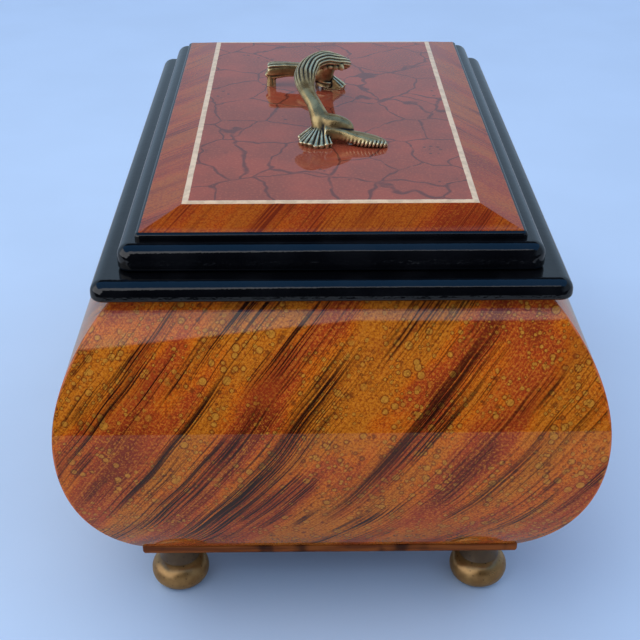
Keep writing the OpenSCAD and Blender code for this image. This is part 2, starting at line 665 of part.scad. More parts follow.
// Two round wings on a waist, each with a hole
module key_outline() difference() {
    union() {
        for (s = [-1, 1]) translate([s * (key_w / 2 - key_wing_h / 2), -key_wing_h / 2 + 2]) circle(key_wing_h / 2);
        translate([-key_w / 2 + key_wing_h / 2, -4]) square([key_w - key_wing_h, 6]);
    }
    for (s = [-1, 1]) translate([s * (key_w / 2 - key_wing_h / 2), -key_wing_h / 2 + 2]) circle(key_wing_h / 2 - 2.6);
}
// Crown wheel: flat teeth stand up round its edge
tooth_len = 3.2;
module crown_tooth() {
    pitch = PI * crown_mod;
    h = crown_tooth_h;
    translate([crown_r - tooth_len / 2, 0, crown_root - eps]) rotate([90, 0, 90]) linear_extrude(tooth_len)
        polygon([[-pitch * 0.26, 0], [pitch * 0.26, 0], [pitch * 0.11, h], [-pitch * 0.11, h]]);
}
module crown_wheel() color("gold") at_movement() difference() {
    union() {
        translate([0, 0, bed_top + 0.4]) cylinder(r = crown_r + tooth_len / 2, h = crown_root - bed_top - 0.4);
        for (k = [0 : crown_teeth - 1]) rotate([0, 0, 360 * k / crown_teeth]) crown_tooth();
    }
    translate([0, 0, -1]) cylinder(d = arbor_d + 2 * seat_gap, h = plate_w);
}

/* Movement: drum, comb and bearings */

// Outline of a gear with straight-sided teeth; tooth 0 points along +X
function gear_points(teeth, m, add, ded) = let (r = m * teeth / 2, step = 360 / teeth) [
    for (k = [0 : teeth - 1]) for (q = [[-0.3, -ded], [-0.1, add], [0.1, add], [0.3, -ded]])
        let (a = step * (k + q[0]), rr = r + m * q[1]) [rr * cos(a), rr * sin(a)]
];
module gear(teeth, m, add, ded, t, bore_d) difference() {
    linear_extrude(t) polygon(gear_points(teeth, m, add, ded));
    translate([0, 0, -1]) cylinder(d = bore_d, h = t + 2);
}
module drum() color("gold") at_movement() along_x(drum_x, 0, shaft_h) difference() {
    cylinder(r = drum_r, h = drum_l);
    translate([0, 0, 1.2]) cylinder(r = drum_r - 0.9, h = drum_l);
    translate([0, 0, -1]) cylinder(d = shaft_d + 2 * seat_gap, h = 4);
}
pins_per_note = 4;
module drum_pins() color("gold") at_movement() along_x(drum_x, 0, shaft_h)
    for (n = [0 : notes - 1], k = [0 : pins_per_note - 1])
        rotate([0, 0, n * 137.5 + k * 83 + k * n * 11]) translate([drum_r - 0.5, 0, 0.4 + (n + 0.5) * note_pitch])
            rotate([0, 90, 0]) cylinder(d = 0.5, h = pin_out + 0.5, $fn = 13);
shaft_x0 = crown_r - pinion_w / 2 - 0.2;
shaft_x1 = bearing_out_x + bearing_t + 0.5;
module drum_shaft() color("silver") at_movement() along_x(shaft_x0, 0, shaft_h) rod(shaft_d, shaft_x1 - shaft_x0);
module drum_pinion() color("gold") at_movement() along_x(crown_r - pinion_w / 2, 0, shaft_h)
    rotate([0, 0, pinion_turn]) gear(pinion_teeth, crown_mod, 0.75, 1.0, pinion_w, shaft_d + 2 * seat_gap);
module drum_wheel() color("gold") at_movement() along_x(wheel_x, 0, shaft_h)
    rotate([0, 0, wheel_turn]) gear(wheel_teeth, train_mod, 0.8, 1.1, wheel_t, shaft_d + 2 * seat_gap);
// Turns that bring the wheels into mesh at rest
pinion_turn = -90 + 180 / pinion_teeth;
wheel_turn = 0;
gov_turn = 180 + 180 / gov_pinion_teeth;
worm_turn = 0;

bearing_screw_xs = [bearing_in_x + bearing_t / 2, bearing_out_x + bearing_t / 2];
module bearing(x) color("silver") at_movement() difference() {
    union() {
        translate([x, -3, bed_top]) cube([bearing_t, 6, shaft_h - bed_top]);
        along_x(x, 0, shaft_h) cylinder(r = 3, h = bearing_t);
    }
    along_x(x - 1, 0, shaft_h) cylinder(d = shaft_d + 2 * run_gap, h = bearing_t + 2);
}
module bearing_inner() bearing(bearing_in_x);
module bearing_outer() bearing(bearing_out_x);

// Steel comb: the low notes have the longer teeth
tooth_gap = 0.3;
function slot_end(n) = -comb_tip - 5.5 - 4 * (1 - n / notes);
module comb() color("lightsteelblue") at_movement() translate([drum_x, 0, comb_base_h]) difference() {
    translate([0, -comb_back, 0]) cube([comb_w, comb_back - comb_tip, comb_t]);
    for (n = [0 : notes]) translate([0.4 + n * note_pitch - tooth_gap / 2, slot_end(n), -1])
        cube([tooth_gap, comb_back, comb_t + 2]);
    for (x = comb_screw_xs) translate([x - drum_x, comb_screw_v, -1])
        cylinder(d = 2.5 + 2 * seat_gap, h = comb_t + 2);
}
module comb_screws() color("gray") at_movement() for (x = comb_screw_xs)
    translate([x, comb_screw_v, comb_base_h - 4.5]) {
        rod(2.5, 4.5 + comb_t + 0.5);
        translate([0, 0, 4.5 + comb_t]) rod(4.6, 1.4);
    }

/* Movement: governor and stop */

frame_v0 = gov_v - 2.6;
frame_v1 = worm_v + 3;
shaft2_d = 1.2;
spindle_d = 1;
frame_base_h = 1.4;
module governor_frame() color("dimgray") at_movement() difference() {
    union() {
        translate([frame_x0 - 4.5, frame_v0, bed_top]) cube([frame_x1 + frame_t - frame_x0 + 4.5, frame_v1 - frame_v0, frame_base_h]);
        for (x = [frame_x0, frame_x1]) translate([x, frame_v0, bed_top]) cube([frame_t, frame_v1 - frame_v0, frame_top - bed_top]);
        translate([frame_x0, worm_v - 1.6, frame_top - 1.4]) cube([frame_x1 + frame_t - frame_x0, frame_v1 - worm_v + 1.6, 1.4]);
        translate([frame_x1, frame_v1 - eps, bed_top]) cube([frame_t, lever_v - frame_v1 + 2, frame_base_h]);
        translate([frame_x1, lever_v - 1.6, bed_top]) cube([frame_t, 3.2, lever_w + 1.6 - bed_top]);
    }
    along_x(frame_x0 - 1, gov_v, shaft_h) cylinder(d = shaft2_d + 2 * run_gap, h = frame_x1 + frame_t - frame_x0 + 2);
    translate([spindle_x, worm_v, bed_top + 0.5]) cylinder(d = spindle_d + 2 * run_gap, h = frame_top);
    along_x(frame_x1 - 1, lever_v, lever_w) cylinder(d = lever_pin_d + 2 * seat_gap, h = frame_t + 2);
    for (p = gov_screw_places) translate([p[0], p[1], bed_top - 1]) cylinder(d = 2 + 2 * seat_gap, h = frame_base_h + 2);
}
lever_pin_d = 1.5;
module governor_screws() color("gray") at_movement() for (p = gov_screw_places) translate([p[0], p[1], 0.3]) {
    rod(2, bed_t + frame_base_h);
    translate([0, 0, bed_top + frame_base_h - 0.3]) rod(3.6, 1.2);
}
// Governor wheel: the pinion and the worm wheel moulded on one hub
module governor_wheel() color("white") at_movement() difference() {
    union() {
        along_x(wheel_x - 0.2, gov_v, shaft_h) rotate([0, 0, gov_turn])
            gear(gov_pinion_teeth, train_mod, 0.8, 1.1, wheel_t + 0.4, shaft2_d);
        along_x(wheel_x, gov_v, shaft_h) cylinder(r = gov_r * 0.7, h = gov_wheel_x - wheel_x + 0.2);
        along_x(gov_wheel_x, gov_v, shaft_h) rotate([0, 0, worm_turn])
            gear(worm_teeth, worm_mod, 0.85, 1.1, gov_wheel_t, shaft2_d);
    }
    along_x(wheel_x - 2, gov_v, shaft_h) cylinder(d = shaft2_d + 2 * seat_gap, h = 12);
}
module governor_shaft() color("silver") at_movement() along_x(frame_x0 + 0.2, gov_v, shaft_h)
    rod(shaft2_d, frame_x1 + frame_t - frame_x0 - 0.4);
worm_h = 5.5;
worm_pitch = PI * worm_mod;
worm_w = shaft_h - worm_h / 2;
// The worm's turn at the wheel's own height, which sets its thread between two teeth
worm_mesh_turn = 82;
worm_start = worm_mesh_turn - 180 * worm_h / worm_pitch;
module worm_spindle() color("silver") at_movement() translate([spindle_x, worm_v, 0]) {
    translate([0, 0, bed_top + 0.7]) rod(spindle_d, fly_w + fly_h - bed_top - 0.7);
    translate([0, 0, worm_w]) linear_extrude(worm_h, twist = -360 * worm_h / worm_pitch, slices = 42, segments = 10)
        rotate([0, 0, worm_start]) translate([worm_throw, 0]) circle(worm_core, $fn = 10);
}
// Fly: two vanes on a hub that the stop lever presses
module fly() color("white") at_movement() translate([spindle_x, worm_v, frame_top + 0.3]) difference() {
    union() {
        cylinder(r = 2.4, h = fly_w - frame_top - 0.3);
        cylinder(r = 1.2, h = fly_w + fly_h - frame_top - 0.6);
        translate([-fly_r, -0.3, fly_w - frame_top - 0.4]) cube([2 * fly_r, 0.6, fly_h - 0.6]);
    }
    translate([0, 0, -1]) cylinder(d = spindle_d + 2 * seat_gap, h = 20);
}
// Stop lever: the rod holds its outer arm down and its finger lies by the fly's hub
finger_w = (frame_top + 0.3 + fly_w) / 2;
module stop_lever() color("silver") at_movement() difference() {
    union() {
        along_x(lever_x, lever_v, lever_w) cylinder(r = 1.6, h = lever_t);
        translate([lever_x, lever_v, lever_w - 0.2]) cube([lever_t, rod_v - lever_v + 1, 1.4]);
        translate([lever_x, lever_v - 0.7, finger_w - 0.4]) cube([lever_t, 1.4, lever_w - finger_w]);
        finger();
    }
    along_x(lever_x - 1, lever_v, lever_w) cylinder(d = lever_pin_d + 2 * run_gap, h = lever_t + 2);
}
// Its arm runs past the frame before it bends to the spindle
module finger() {
    tip_v = worm_v + 2.4 + pass_gap;
    translate([0, 0, finger_w - 0.4]) linear_extrude(0.8) polygon([
        [lever_x, lever_v + 0.7], [lever_x + lever_t, lever_v + 0.7], [lever_x + lever_t, tip_v],
        [spindle_x - 0.6, tip_v], [spindle_x - 0.6, tip_v + 0.8], [lever_x, tip_v + 0.8]
    ]);
}
module lever_pin() color("gray") at_movement() along_x(frame_x1 + 0.1, lever_v, lever_w)
    rod(lever_pin_d, lever_x + lever_t + 0.4 - frame_x1);
module stop_rod() color("silver") translate([rod_x, rod_y, rod_foot]) rod(rod_d, rim_top - rod_foot);
bracket_w = 12;
bracket_screw_d = 2;
bracket_screw_xs = [-3.5, 3.5];
bracket_y = mould_l / 2 + opening_x;
module rod_bracket() color("goldenrod") difference() {
    union() {
        translate([rod_x - bracket_w / 2, bracket_y - bracket_t, wall_top]) cube([bracket_w, bracket_t, rim_t - 1]);
        translate([rod_x - bracket_w / 2, rod_y - 3.5, wall_top]) cube([bracket_w, bracket_y - rod_y + 3.5, bracket_t]);
    }
    translate([rod_x, rod_y, wall_top - 1]) cylinder(r = rod_hole_r, h = bracket_t + 2);
    for (dx = bracket_screw_xs) translate([rod_x + dx, bracket_y - bracket_t - 1, wall_top + rim_t / 2])
        rotate([-90, 0, 0]) cylinder(d = bracket_screw_d + 2 * seat_gap, h = bracket_t + 2);
}
module rod_bracket_screws() color("goldenrod") for (dx = bracket_screw_xs)
    translate([rod_x + dx, bracket_y + 5, wall_top + rim_t / 2]) rotate([90, 0, 0]) {
        rod(bracket_screw_d, bracket_t + 5);
        translate([0, 0, bracket_t + 5]) rod(3.4, 1);
    }

case_front();
case_back();
case_left();
case_right();
bottom_board();
foot_front_left();
foot_front_right();
foot_back_left();
foot_back_right();
foot_screws();
rim_moulding();
lid_moulding();
lid_crown();
handle();
handle_screws();
lid_pad();
rim_hinge_leaves();
lid_hinge_leaves();
hinge_pins();
rim_hinge_screws();
lid_hinge_screws();
floor_lining();
lining_front();
lining_back();
lining_left();
lining_right();
movement_housing();
movement_window();
bedplate();
movement_screws();
spring_plate();
spring_plate_screws();
spring_cup();
mainspring();
winding_arbor();
crown_wheel();
winding_key();
drum();
drum_pins();
drum_shaft();
drum_pinion();
drum_wheel();
bearing_inner();
bearing_outer();
comb();
comb_screws();
governor_frame();
governor_screws();
governor_wheel();
governor_shaft();
worm_spindle();
fly();
stop_lever();
lever_pin();
stop_rod();
rod_bracket();
rod_bracket_screws();
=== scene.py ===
import bpy, bmesh
from math import copysign, cos, degrees, exp, hypot, pi, radians, sin
from mathutils import Matrix, Vector


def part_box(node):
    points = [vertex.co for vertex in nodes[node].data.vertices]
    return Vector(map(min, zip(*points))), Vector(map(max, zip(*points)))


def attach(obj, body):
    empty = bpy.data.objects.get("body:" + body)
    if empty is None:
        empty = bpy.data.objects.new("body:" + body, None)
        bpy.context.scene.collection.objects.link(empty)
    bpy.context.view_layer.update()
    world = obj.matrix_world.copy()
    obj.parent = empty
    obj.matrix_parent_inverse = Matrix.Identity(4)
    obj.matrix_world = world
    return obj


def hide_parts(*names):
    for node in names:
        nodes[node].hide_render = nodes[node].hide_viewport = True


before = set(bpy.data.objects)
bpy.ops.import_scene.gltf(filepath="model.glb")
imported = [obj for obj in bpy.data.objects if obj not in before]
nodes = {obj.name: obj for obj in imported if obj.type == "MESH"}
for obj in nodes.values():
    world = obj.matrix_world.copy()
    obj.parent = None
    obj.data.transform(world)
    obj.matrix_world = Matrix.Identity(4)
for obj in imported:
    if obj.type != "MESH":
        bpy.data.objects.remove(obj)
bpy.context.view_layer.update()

mm = 0.001
print("frame loaded:", len(nodes), "parts")

scene = bpy.context.scene
shot = {"glass": {"lens": 66.36, "sensor_width": 36, "clip_start": 0.01},
        "stand": {"location": (-0.00919, -0.52236, 0.36272), "rotation_euler": (pi / 2 - 0.5163, 0, -0.0122)}}
studio = {
    "floor": (0.44, 0.6, 0.88), "floorInGloss": (0.36, 0.4, 0.46), "floorBounce": (0.86, 0.74, 0.62), "floorHalf": 3,
    "skyAround": (0.7, 0.8, 0.94), "lampPlace": (-0.35, -0.25, 1.25), "lampAim": (0, 0, 0.1),
    "lamp": {"size": 1.3, "energy": 9, "color": (1, 0.88, 0.66)},
    # what gloss sees: window to the front left, blue above, pale wall behind, dark in front
    "window": (1.45, 1.5, 1.6), "above": (0.1, 0.36, 0.82), "wallBehind": (0.36, 0.5, 0.66),
    "dark": (0.012, 0.014, 0.02), "roomAround": (0.22, 0.29, 0.38),
    "windowTilt": (-0.795, 0.445, 0.415), "windowFrom": -0.566, "tableEdge": -0.43,
}


def link(obj):
    scene.collection.objects.link(obj)
    return obj


def setAll(target, **values):
    for key, value in values.items():
        setattr(target, key, value)


def bare(name, verts, faces=()):
    mesh = bpy.data.meshes.new(name)
    mesh.from_pydata([tuple(v) for v in verts], [], faces)
    return link(bpy.data.objects.new(name, mesh))


cameraData = bpy.data.cameras.new("camera")
setAll(cameraData, **shot["glass"])
camera = link(bpy.data.objects.new("camera", cameraData))
setAll(camera, **shot["stand"])
scene.camera = camera
scene.view_settings.view_transform = "Standard"


def pickSocket(sockets, key):
    # by number, identifier or name
    return next((s for s in sockets if s.identifier == key), None) or sockets[key]


class Wire:
    # one output socket, arithmetic on it adds Math nodes
    def __init__(self, bench, socket):
        self.bench, self.socket = bench, socket

    def math(self, operation, *others):
        return self.bench.math(operation, self, *others)

    def __neg__(self): return self.math("MULTIPLY", -1)
    def __abs__(self): return self.math("ABSOLUTE")
    def __gt__(self, other): return self.math("GREATER_THAN", other)
    def __lt__(self, other): return self.math("LESS_THAN", other)


for sign, operation in {"add": "ADD", "sub": "SUBTRACT", "mul": "MULTIPLY", "truediv": "DIVIDE", "pow": "POWER"}.items():
    setattr(Wire, f"__{sign}__", lambda self, other, how=operation: self.bench.math(how, self, other))
    setattr(Wire, f"__r{sign}__", lambda self, other, how=operation: self.bench.math(how, other, self))


class Bench:
    # adds nodes to one shader or geometry tree
    def __init__(self, tree):
        self.tree = tree

    def node(self, kind, settings=None, sockets=None, out=0, family="ShaderNode"):
        made = self.tree.nodes.new(family + kind)
        setAll(made, **(settings or {}))
        for key, value in (sockets or {}).items():
            target = pickSocket(made.inputs, key)
            if isinstance(value, (Wire, list)):
                for wire in value if isinstance(value, list) else [value]:
                    self.tree.links.new(wire.socket, target)
            elif target.type == "RGBA" and len(value) == 3:
                target.default_value = (*value, 1)
            else:
                target.default_value = value
        return made if out is None else Wire(self, pickSocket(made.outputs, out))

    def geo(self, kind, sockets, out=0, **settings):
        return self.node(kind, settings, sockets, out, "GeometryNode")

    def math(self, operation, *values):
        return self.node("Math", {"operation": operation}, dict(enumerate(values)))

    def smooth(self, value, low, high, toLow=0, toHigh=1):
        span = {"Value": value, "From Min": low, "From Max": high, "To Min": toLow, "To Max": toHigh}
        return self.node("MapRange", {"interpolation_type": "SMOOTHSTEP"}, span, "Result")

    def mix(self, amount, first, second):
        sockets = {"Factor_Float": amount, "A_Color": first, "B_Color": second}
        return self.node("Mix", {"data_type": "RGBA"}, sockets, "Result_Color")

    def layers(self, colour, *rows):
        # each row lays its tint on as its value passes from low to high
        for tint, *step in rows:
            colour = self.mix(self.smooth(*step), colour, tint)
        return colour

    def split(self, vector):
        made = self.node("SeparateXYZ", {}, {"Vector": vector}, None)
        return [Wire(self, s) for s in made.outputs]

    def join(self, x, y, z):
        return self.node("CombineXYZ", {}, {"X": x, "Y": y, "Z": z})

    def noise(self, vector, scale, detail=2, rough=0.5, distortion=0):
        look = {"Vector": vector, "Scale": scale, "Detail": detail, "Roughness": rough, "Distortion": distortion}
        return self.node("TexNoise", {}, look, "Fac")

    def cells(self, vector, scale, feature="F1"):
        return self.node("TexVoronoi", {"feature": feature}, {"Vector": vector, "Scale": scale}, "Distance")

    def bump(self, height, distance, strength=0.5):
        return self.node("Bump", {}, {"Height": height, "Distance": distance, "Strength": strength}, "Normal")

    def place(self):
        return self.node("TexCoord", {}, {}, "Object")

    def stored(self, name):
        return self.node("Attribute", {"attribute_name": name}, {}, "Fac")

    def ray(self, kind):
        return self.node("LightPath", {}, {}, f"Is {kind} Ray")


def emptyBench(owner):
    owner.use_nodes = True
    owner.node_tree.nodes.clear()
    return Bench(owner.node_tree)


def newFinish(name, constants, build):
    # build(bench) returns the colour and normal, and where they vary the roughness and metallic
    finish = bpy.data.materials.new(name)
    bench = emptyBench(finish)
    varying = dict(zip(("Base Color", "Normal", "Roughness", "Metallic"), build(bench)))
    shader = bench.node("BsdfPrincipled", {}, {**constants, **varying})
    bench.node("OutputMaterial", {}, {"Surface": shader}, None)
    return finish


def scaled(colour, factor):
    return tuple(c * factor for c in colour)


# plain pale floor: its tone seen directly, in gloss, or as light thrown back on the piece
def floorTone(b):
    place = b.place()
    plain = b.mix(b.smooth(b.noise(place, 9, 3), 0.3, 0.7), studio["floor"], scaled(studio["floor"], 1.04))
    indirect = b.mix(b.ray("Glossy"), studio["floorBounce"], studio["floorInGloss"])
    return b.mix(b.ray("Camera"), indirect, plain), b.bump(b.noise(place, 900), 0.0002, 0.15)


far = studio["floorHalf"]
floor = bare("floor", [(-far, -far, 0), (far, -far, 0), (far, far, 0), (-far, far, 0)], [(0, 1, 2, 3)])
paleFloor = newFinish("paleFloor", {"Roughness": 0.55}, floorTone)
floor.data.materials.append(paleFloor)
# in gloss the floor ends at the near edge of the table
b, floorNodes = Bench(paleFloor.node_tree), paleFloor.node_tree.nodes
x, y, z = b.split(b.place())
beyond = (y + x * 0.03 < studio["tableEdge"]) * b.ray("Glossy")
within, ended = Wire(b, floorNodes["Principled BSDF"].outputs[0]), b.node("Emission", {}, {"Color": studio["dark"]})
shaded = b.node("MixShader", {}, {0: beyond, 1: within, 2: ended})
b.tree.links.new(shaded.socket, floorNodes["Material Output"].inputs["Surface"])

scene.world = bpy.data.worlds.new("softSky")
sky = emptyBench(scene.world)
dx, dy, dz = sky.split(sky.node("TexCoord", {}, {}, "Generated"))
tilt = studio["windowTilt"]
bright = sky.smooth(dx * tilt[0] + dy * tilt[1] + dz * tilt[2], -0.012, 0.012)
bright = bright.math("MAXIMUM", sky.smooth(dz + dx * 0.12, 0.758, 0.778)) * sky.smooth(dy + dx * 0.8, 0, -0.45)
seen = sky.mix(sky.smooth(abs(dx), 0.3, 0.75), studio["dark"], studio["roomAround"])
seen = sky.mix(bright, seen, studio["window"])
seen = sky.mix(sky.smooth(dy, 0, 0.45) * sky.smooth(dz, 0.66, 0.6), seen, studio["wallBehind"])
seen = sky.mix(sky.smooth(dy, 0.47, 0.44) * (dy > studio["windowFrom"]) * (dz > 0.6), seen, studio["above"])
skyLight = sky.node("Background", {}, {"Color": sky.mix(sky.ray("Glossy"), studio["skyAround"], seen)})
sky.node("OutputWorld", {}, {"Surface": skyLight}, None)

lampData = bpy.data.lights.new("overheadLamp", "AREA")
setAll(lampData, **studio["lamp"])
lamp = link(bpy.data.objects.new("overheadLamp", lampData))
lamp.location = studio["lampPlace"]
lamp.visible_glossy = False
lamp.rotation_euler = (Vector(studio["lampAim"]) - Vector(studio["lampPlace"])).to_track_quat("-Z", "Y").to_euler()
print("camera, floor and light")


def closeUp(piece, gap=1e-6):
    bm = bmesh.new()
    bm.from_mesh(piece.data)
    bmesh.ops.remove_doubles(bm, verts=bm.verts, dist=gap)
    bmesh.ops.dissolve_degenerate(bm, edges=bm.edges, dist=gap)
    bmesh.ops.recalc_face_normals(bm, faces=bm.faces)
    bmesh.ops.delete(bm, geom=[v for v in bm.verts if not v.link_faces], context="VERTS")
    bm.to_mesh(piece.data)
    bm.free()


def smoothOff(piece, angle=35):
    closeUp(piece)
    piece.data.shade_smooth()
    piece.data.set_sharp_from_angle(angle=radians(angle))
    return piece


def newPiece(name, shape, finish, angle):
    piece = bare(name, *shape)
    piece.data.validate()
    piece.data.materials.append(finish)
    return smoothOff(piece, angle)


def standFor(piece, body, node):
    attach(piece, body)
    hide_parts(node)


def addModifier(piece, kind, **values):
    modifier = piece.modifiers.new(kind, kind)
    setAll(modifier, **values)
    return modifier


def settle(piece):
    # the evaluated shape becomes the piece's own plain mesh
    bpy.context.view_layer.update()
    shape = bpy.data.meshes.new_from_object(piece.evaluated_get(bpy.context.evaluated_depsgraph_get()))
    piece.modifiers.clear()
    piece.data = shape


def recoat(piece, finish):
    piece.data.materials.clear()
    piece.data.materials.append(finish)


def loft(rings, around=True):
    # rings of points joined by quads, capped at both ends when they go all the way round
    count, verts, faces = len(rings[0]), [p for ring in rings for p in ring], []
    for a in range(0, len(verts) - count, count):
        faces += [(a + k, a + (k + 1) % count, a + count + (k + 1) % count, a + count + k)
                  for k in range(count if around else count - 1)]
    if around:
        faces += [tuple(range(count)), tuple(range(len(verts) - count, len(verts)))]
    return verts, faces


def turns(steps):
    return [2 * pi * k / steps for k in range(steps)]


def roundedPlate(section, halfW, halfL, cornerR, steps):
    # each (inset, height) of the section becomes a rounded rectangle, anticlockwise
    rings = []
    for inset, z in section:
        r, ring = max(cornerR - inset, 0.0004), []
        for turn, (sx, sy) in enumerate(((1, 1), (-1, 1), (-1, -1), (1, -1))):
            for k in range(steps + 1):
                a = pi / 2 * (turn + k / steps)
                ring.append(Vector((sx * (halfW - inset - r) + r * cos(a), sy * (halfL - inset - r) + r * sin(a), z)))
        rings.append(ring)
    return loft(rings)


# geometry trees
def newTree(name, inputs):
    tree = bpy.data.node_groups.new(name, "GeometryNodeTree")
    for way in ("INPUT", "OUTPUT"):
        tree.interface.new_socket("Geometry", in_out=way, socket_type="NodeSocketGeometry")
    kinds = {float: "Float", int: "Int", list: "Vector"}
    for label, value in inputs.items():
        kind = "NodeSocket" + kinds[type(value)]
        tree.interface.new_socket(label, in_out="INPUT", socket_type=kind).default_value = value
    bench = Bench(tree)
    entry = bench.node("GroupInput", {}, {}, None, "Node")
    return bench, {s.name: Wire(bench, s) for s in entry.outputs if s.name}


def closeTree(bench, shape, finish):
    shape = bench.geo("SetMaterial", {"Geometry": bench.geo("RealizeInstances", {"Geometry": shape}), "Material": finish})
    bench.node("GroupOutput", {}, {"Geometry": shape}, None, "Node")
    return bench.tree


def growPiece(name, build, finish, values, points=((0, 0, 0),)):
    # a tree run on a cloud of points, kept as a plain mesh
    tree = build(finish, values)
    piece = bare(name, points)
    modifier = addModifier(piece, "NODES", node_group=tree)
    labels = {s.name: s.identifier for s in tree.interface.items_tree if s.in_out == "INPUT"}
    for label, value in values.items():
        modifier[labels[label]] = value
    settle(piece)
    return smoothOff(piece)


# the paint on the walls and the lid's border: combed streaks, drops and mottling over amber
paint = {
    "gold": (0.46, 0.14, 0.009), "amber": (0.54, 0.118, 0.006), "rust": (0.36, 0.052, 0.01),
    "deep": (0.17, 0.022, 0.007), "dark": (0.014, 0.004, 0.003), "drop": (0.66, 0.31, 0.04), "ring": (0.13, 0.026, 0.006),
    # stain is the dark of the walls' inside faces, painted shade for the seams between the linings
    "fleck": (0.56, 0.2, 0.024), "edge": (0.55, 0.16, 0.07), "stain": (0.06, 0.006, 0.01), "streakAngle": 54,
    "leastDrop": 0.22,
    # cell scale, smallest radius, growth and cluster scale of the two sizes of drop
    "drops": ((235, 0.2, 0.3, 30), (430, 0.2, 0.3, 44)),
}
# main dark streaks of the front wall: place across the streaks, half width, start and end along them, strength
frontStreaks = [
    (0.0795, 0.0007, -0.068, -0.006, 0.9), (0.064, 0.0012, -0.092, -0.046, 0.7), (0.0515, 0.001, -0.088, 0.016, 0.95),
    (0.0178, 0.0021, -0.1, 0.05, 1), (0.0118, 0.0009, -0.098, 0.004, 0.85), (-0.02, 0.0015, -0.042, 0.088, 0.9),
    (-0.0615, 0.0013, -0.012, 0.066, 0.75),
]


def turnedAxes(x, y, sine, cosine):
    return y * cosine - x * sine, x * cosine + y * sine


def combedPaint(b, x, y, across, along, streaks, shift, drops=1):
    # amber and rust bands under drops, mottling and combed lines
    flat = b.join(x, y, shift)
    sway = b.noise(b.join(across * 0.4, along, shift), 26, 1) - 0.5
    across = across + sway * 0.004

    def combed(stretch, offset, *look):
        return b.noise(b.join(across, along * stretch, shift + offset), *look)

    band = combed(0.13, 0, 50, 2, 0.45)
    patch = b.noise(flat, 30, 3, 0.55)
    tone = band * 0.65 + patch * 0.35
    colour = b.layers(paint["gold"], (paint["amber"], tone, 0.44, 0.52), (paint["rust"], tone, 0.5, 0.57),
                      (paint["deep"], tone, 0.57, 0.66))
    # fine worm-like mottling
    worm = b.noise(flat, 1000, 2, 0.7, 0.5)
    net = b.cells(b.join(x + worm * 0.0006, y - worm * 0.0006, shift), 800, "DISTANCE_TO_EDGE")
    strong = b.smooth(patch, 0.35, 0.6, 0.5, 1)
    colour = b.mix(b.smooth(net, 0.02, 0.14, 0.5, 0) * strong, colour, paint["deep"])
    colour = b.layers(colour, (paint["fleck"], worm, 0.5, 0.64, 0, 0.55), (paint["deep"], worm, 0.49, 0.37, 0, 0.55))
    # drops in clusters, mostly on the golden bands
    for scale, least, growth, cluster in paint["drops"]:
        where = b.join(x + worm * 0.001, y + patch * 0.004, shift + scale)
        cells = b.node("TexVoronoi", {}, {"Vector": where, "Scale": scale, "Randomness": 0.9}, None)
        distance, pick = Wire(b, cells.outputs["Distance"]), b.split(Wire(b, cells.outputs["Color"]))[0]
        crowd = b.smooth(b.noise(where, cluster, 1) - (tone - 0.5) * 0.8, 0.4, 0.48) * drops
        shown = crowd * (pick > paint["leastDrop"])
        radius = least + growth * (pick - paint["leastDrop"])
        colour = b.mix(b.smooth(distance, radius + 0.01, radius + 0.11, 0.72, 0) * shown, colour, paint["ring"])
        filled = b.mix(b.smooth(worm, 0.42, 0.6), scaled(paint["drop"], 0.78), paint["drop"])
        colour = b.mix(b.smooth(distance, radius - 0.08, radius - 0.01, 0.56, 0) * shown, colour, filled)
    # combed lines, thin everywhere and thick in groups
    comb, group, fade = combed(0.01, 3, 1150, 2, 0.7), combed(0.22, 5, 70, 2, 0.6), combed(0.5, 9, 36)
    thin = b.smooth(comb, 0.55, 0.63) * b.smooth(fade, 0.36, 0.6, 0.15, 0.65)
    thick = b.smooth(comb, 0.46, 0.58) * b.smooth(group, 0.46, 0.62) * b.smooth(fade, 0.38, 0.52)
    colour = b.layers(colour, (paint["fleck"], comb, 0.44, 0.34, 0, 0.35), (paint["deep"], group, 0.5, 0.7, 0, 0.55))
    colour = b.mix(thick * 0.92, b.mix(thin, colour, paint["dark"]), paint["dark"])
    soak = None
    for place, half, start, end, strength in streaks:
        away = abs(across - place + (fade - 0.5) * 0.004)
        here = b.smooth(along, start, start + 0.03) * b.smooth(along, end, end - 0.03) * strength
        core = b.smooth(away, half * 2.6, half * 0.3) * b.smooth(comb, 0.36, 0.52)
        halo = b.smooth(away, half, half * 6, 0.8, 0) * b.smooth(comb, 0.45, 0.6)
        one = here * core.math("MAXIMUM", halo)
        soak = soak.math("MAXIMUM", one) if soak else one
    return b.mix(soak, colour, paint["dark"]) if soak else colour


gloss = {"Roughness": 0.45, "IOR": 1.5, "Coat Weight": 1, "Coat Roughness": 0.012, "Coat IOR": 1.46,
         "Specular IOR Level": 0}


def orangePeel(b, place):
    return b.bump(b.noise(place, 260), 0.00006)


def wallFinish(streaks, shift):
    def build(b):
        x, y, z = b.split(b.node("UVMap", {"uv_map": "UVMap"}))
        turn = radians(paint["streakAngle"])
        colour = combedPaint(b, x, y, *turnedAxes(x, y, sin(turn), cos(turn)), streaks, shift)
        toEdge = b.stored("toEdge")
        rub = b.noise(b.join(x, y, shift), 110, 3)
        colour = b.mix(b.smooth(toEdge, 0.0002, 0.0011, 0.9, 0) * b.smooth(rub, 0.4, 0.55), colour, paint["edge"])
        # dark on the inside faces: painted shade for the seams between the linings, where the wall shows through
        return b.mix(b.stored("inside"), colour, paint["stain"]), orangePeel(b, b.join(x, y, shift))
    return build


# four bent wall panels, each the same rule: two arcs in section, mitred at both ends
wall = {
    "sideW": 0.18, "sideL": 0.28, "foot": 0.03, "rise": 0.123, "bellyZ": 0.096, "bellyOut": 0.0165,
    "upperR": 0.07646, "lowerR": 0.0982, "thick": 0.007, "mitreGap": 0.00004, "edge": 0.0004, "edgeSteps": 2,
    "columns": {"sideW": 40, "sideL": 60}, "rows": 72,
}
sides = {"Front": (0, "sideW", "sideL"), "Right": (90, "sideL", "sideW"), "Back": (180, "sideW", "sideL"),
         "Left": (270, "sideL", "sideW")}


